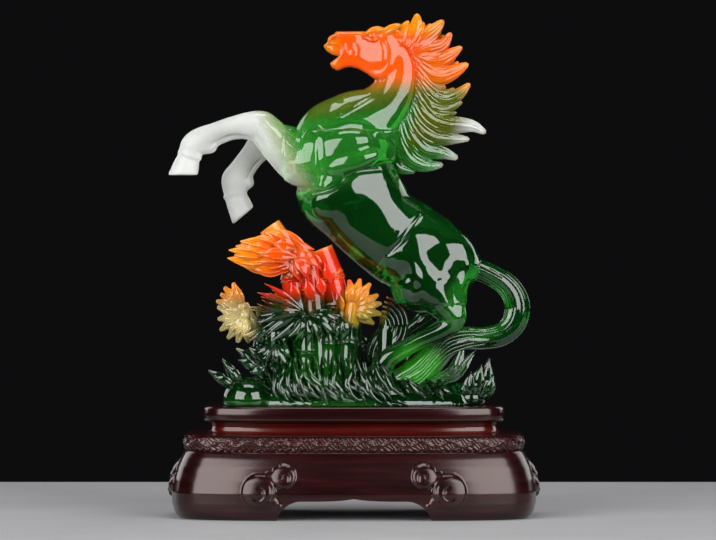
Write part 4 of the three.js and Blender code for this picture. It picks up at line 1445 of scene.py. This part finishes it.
def add_softbox(name, place, width, height, watts):
    """A rectangular light that faces the middle of the figure."""
    data = bpy.data.lights.new(name, "AREA")
    data.shape = "RECTANGLE"
    data.size = width
    data.size_y = height
    data.energy = watts
    light = bpy.data.objects.new(name, data)
    light.location = place
    way = np.subtract(LIGHT_AIM, place)
    turn = math.atan2(way[1], way[0]) - math.pi / 2
    tip = math.atan2(math.hypot(way[0], way[1]), -way[2])
    light.rotation_euler = (tip, 0, turn)
    bpy.context.scene.collection.objects.link(light)


# Name, place, width, height and watts of each light
SOFTBOXES = [
    ("left", (-1.02, -1.12, 0.72), 1.35, 1.25, 32), ("right", (1.02, -1.12, 0.72), 1.35, 1.25, 32),
    ("top", (0.0, -0.1, 1.6), 0.9, 0.6, 9),
    ("back_left", (-1.0, 0.9, 0.6), 0.7, 0.9, 4), ("back_right", (1.0, 0.9, 0.6), 0.7, 0.9, 4),
]


def add_stage():
    """The floor, a nearly black world and the lights."""
    half_length, front, back = 0.7, -0.34, 0.42
    mesh = bpy.data.meshes.new("floor")
    mesh.from_pydata(
        [(-half_length, front, 0), (half_length, front, 0), (half_length, back, 0), (-half_length, back, 0)],
        [], [(0, 1, 2, 3)],
    )
    floor = bpy.data.objects.new("floor", mesh)
    mesh.materials.append(floor_material())
    bpy.context.scene.collection.objects.link(floor)
    world = bpy.data.worlds.new("studio")
    bpy.context.scene.world = world
    world.use_nodes = True
    set_values(world.node_tree.nodes["Background"], {"Color": NEARLY_BLACK})
    bpy.context.scene.view_settings.view_transform = "Standard"
    for name, place, width, height, watts in SOFTBOXES:
        add_softbox("softbox_" + name, place, width, height, watts)


def dress(piece, node):
    """What each piece moves with, and the solid of the model that it takes the place of, which is hidden."""
    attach(piece, "root")
    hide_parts(node)


def finish_horse(glasses):
    """The horse in its glass, with lit edges on mane and tail alone."""
    horse = crystal_horse()
    points = points_of(horse)
    mane = ramp(points[:, 0] - 0.27 * points[:, 2], -34, -28)
    tail = ramp(-points[:, 2], -136, -126)
    colours = lit_edges(horse_colours(points), edges_of(horse), 0.5 * np.maximum(mane, tail))
    wear_crystal(horse, glasses, colours, frosting(points))
    dress(horse, "horse_figure")


def finish_plants(glasses):
    """The plants in their glass, with edges lit more among the leaves than on the mound."""
    plants = bamboo_and_grass()
    points = points_of(plants)
    share = 0.2 + 0.3 * ramp(points[:, 2], 150, 165)
    colours = lit_edges(plant_colours(points), edges_of(plants), share)
    wear_crystal(plants, glasses, colours, np.zeros(len(points)))
    dress(plants, "horse_figure")


def finish_stand():
    """The stand, its lacquer thinner on the neck below the ledge and a little on the band."""
    stand = wood_stand()
    height = points_of(stand)[:, 2]
    thin = 0.65 * ramp(height, 61.8, 64) * ramp(-height, -72, -70)
    thin += 0.15 * ramp(height, 49.5, 51.5) * ramp(-height, -62, -61)
    paint(stand, "tint", np.repeat(thin[:, None], 3, 1))
    wear(stand, [lacquer_material()])
    dress(stand, "stand")


def main():
    add_camera()
    add_stage()
    glasses = [crystal_material(level) for level in range(ETCHED + 1)]
    finish_horse(glasses)
    finish_plants(glasses)
    finish_stand()


main()
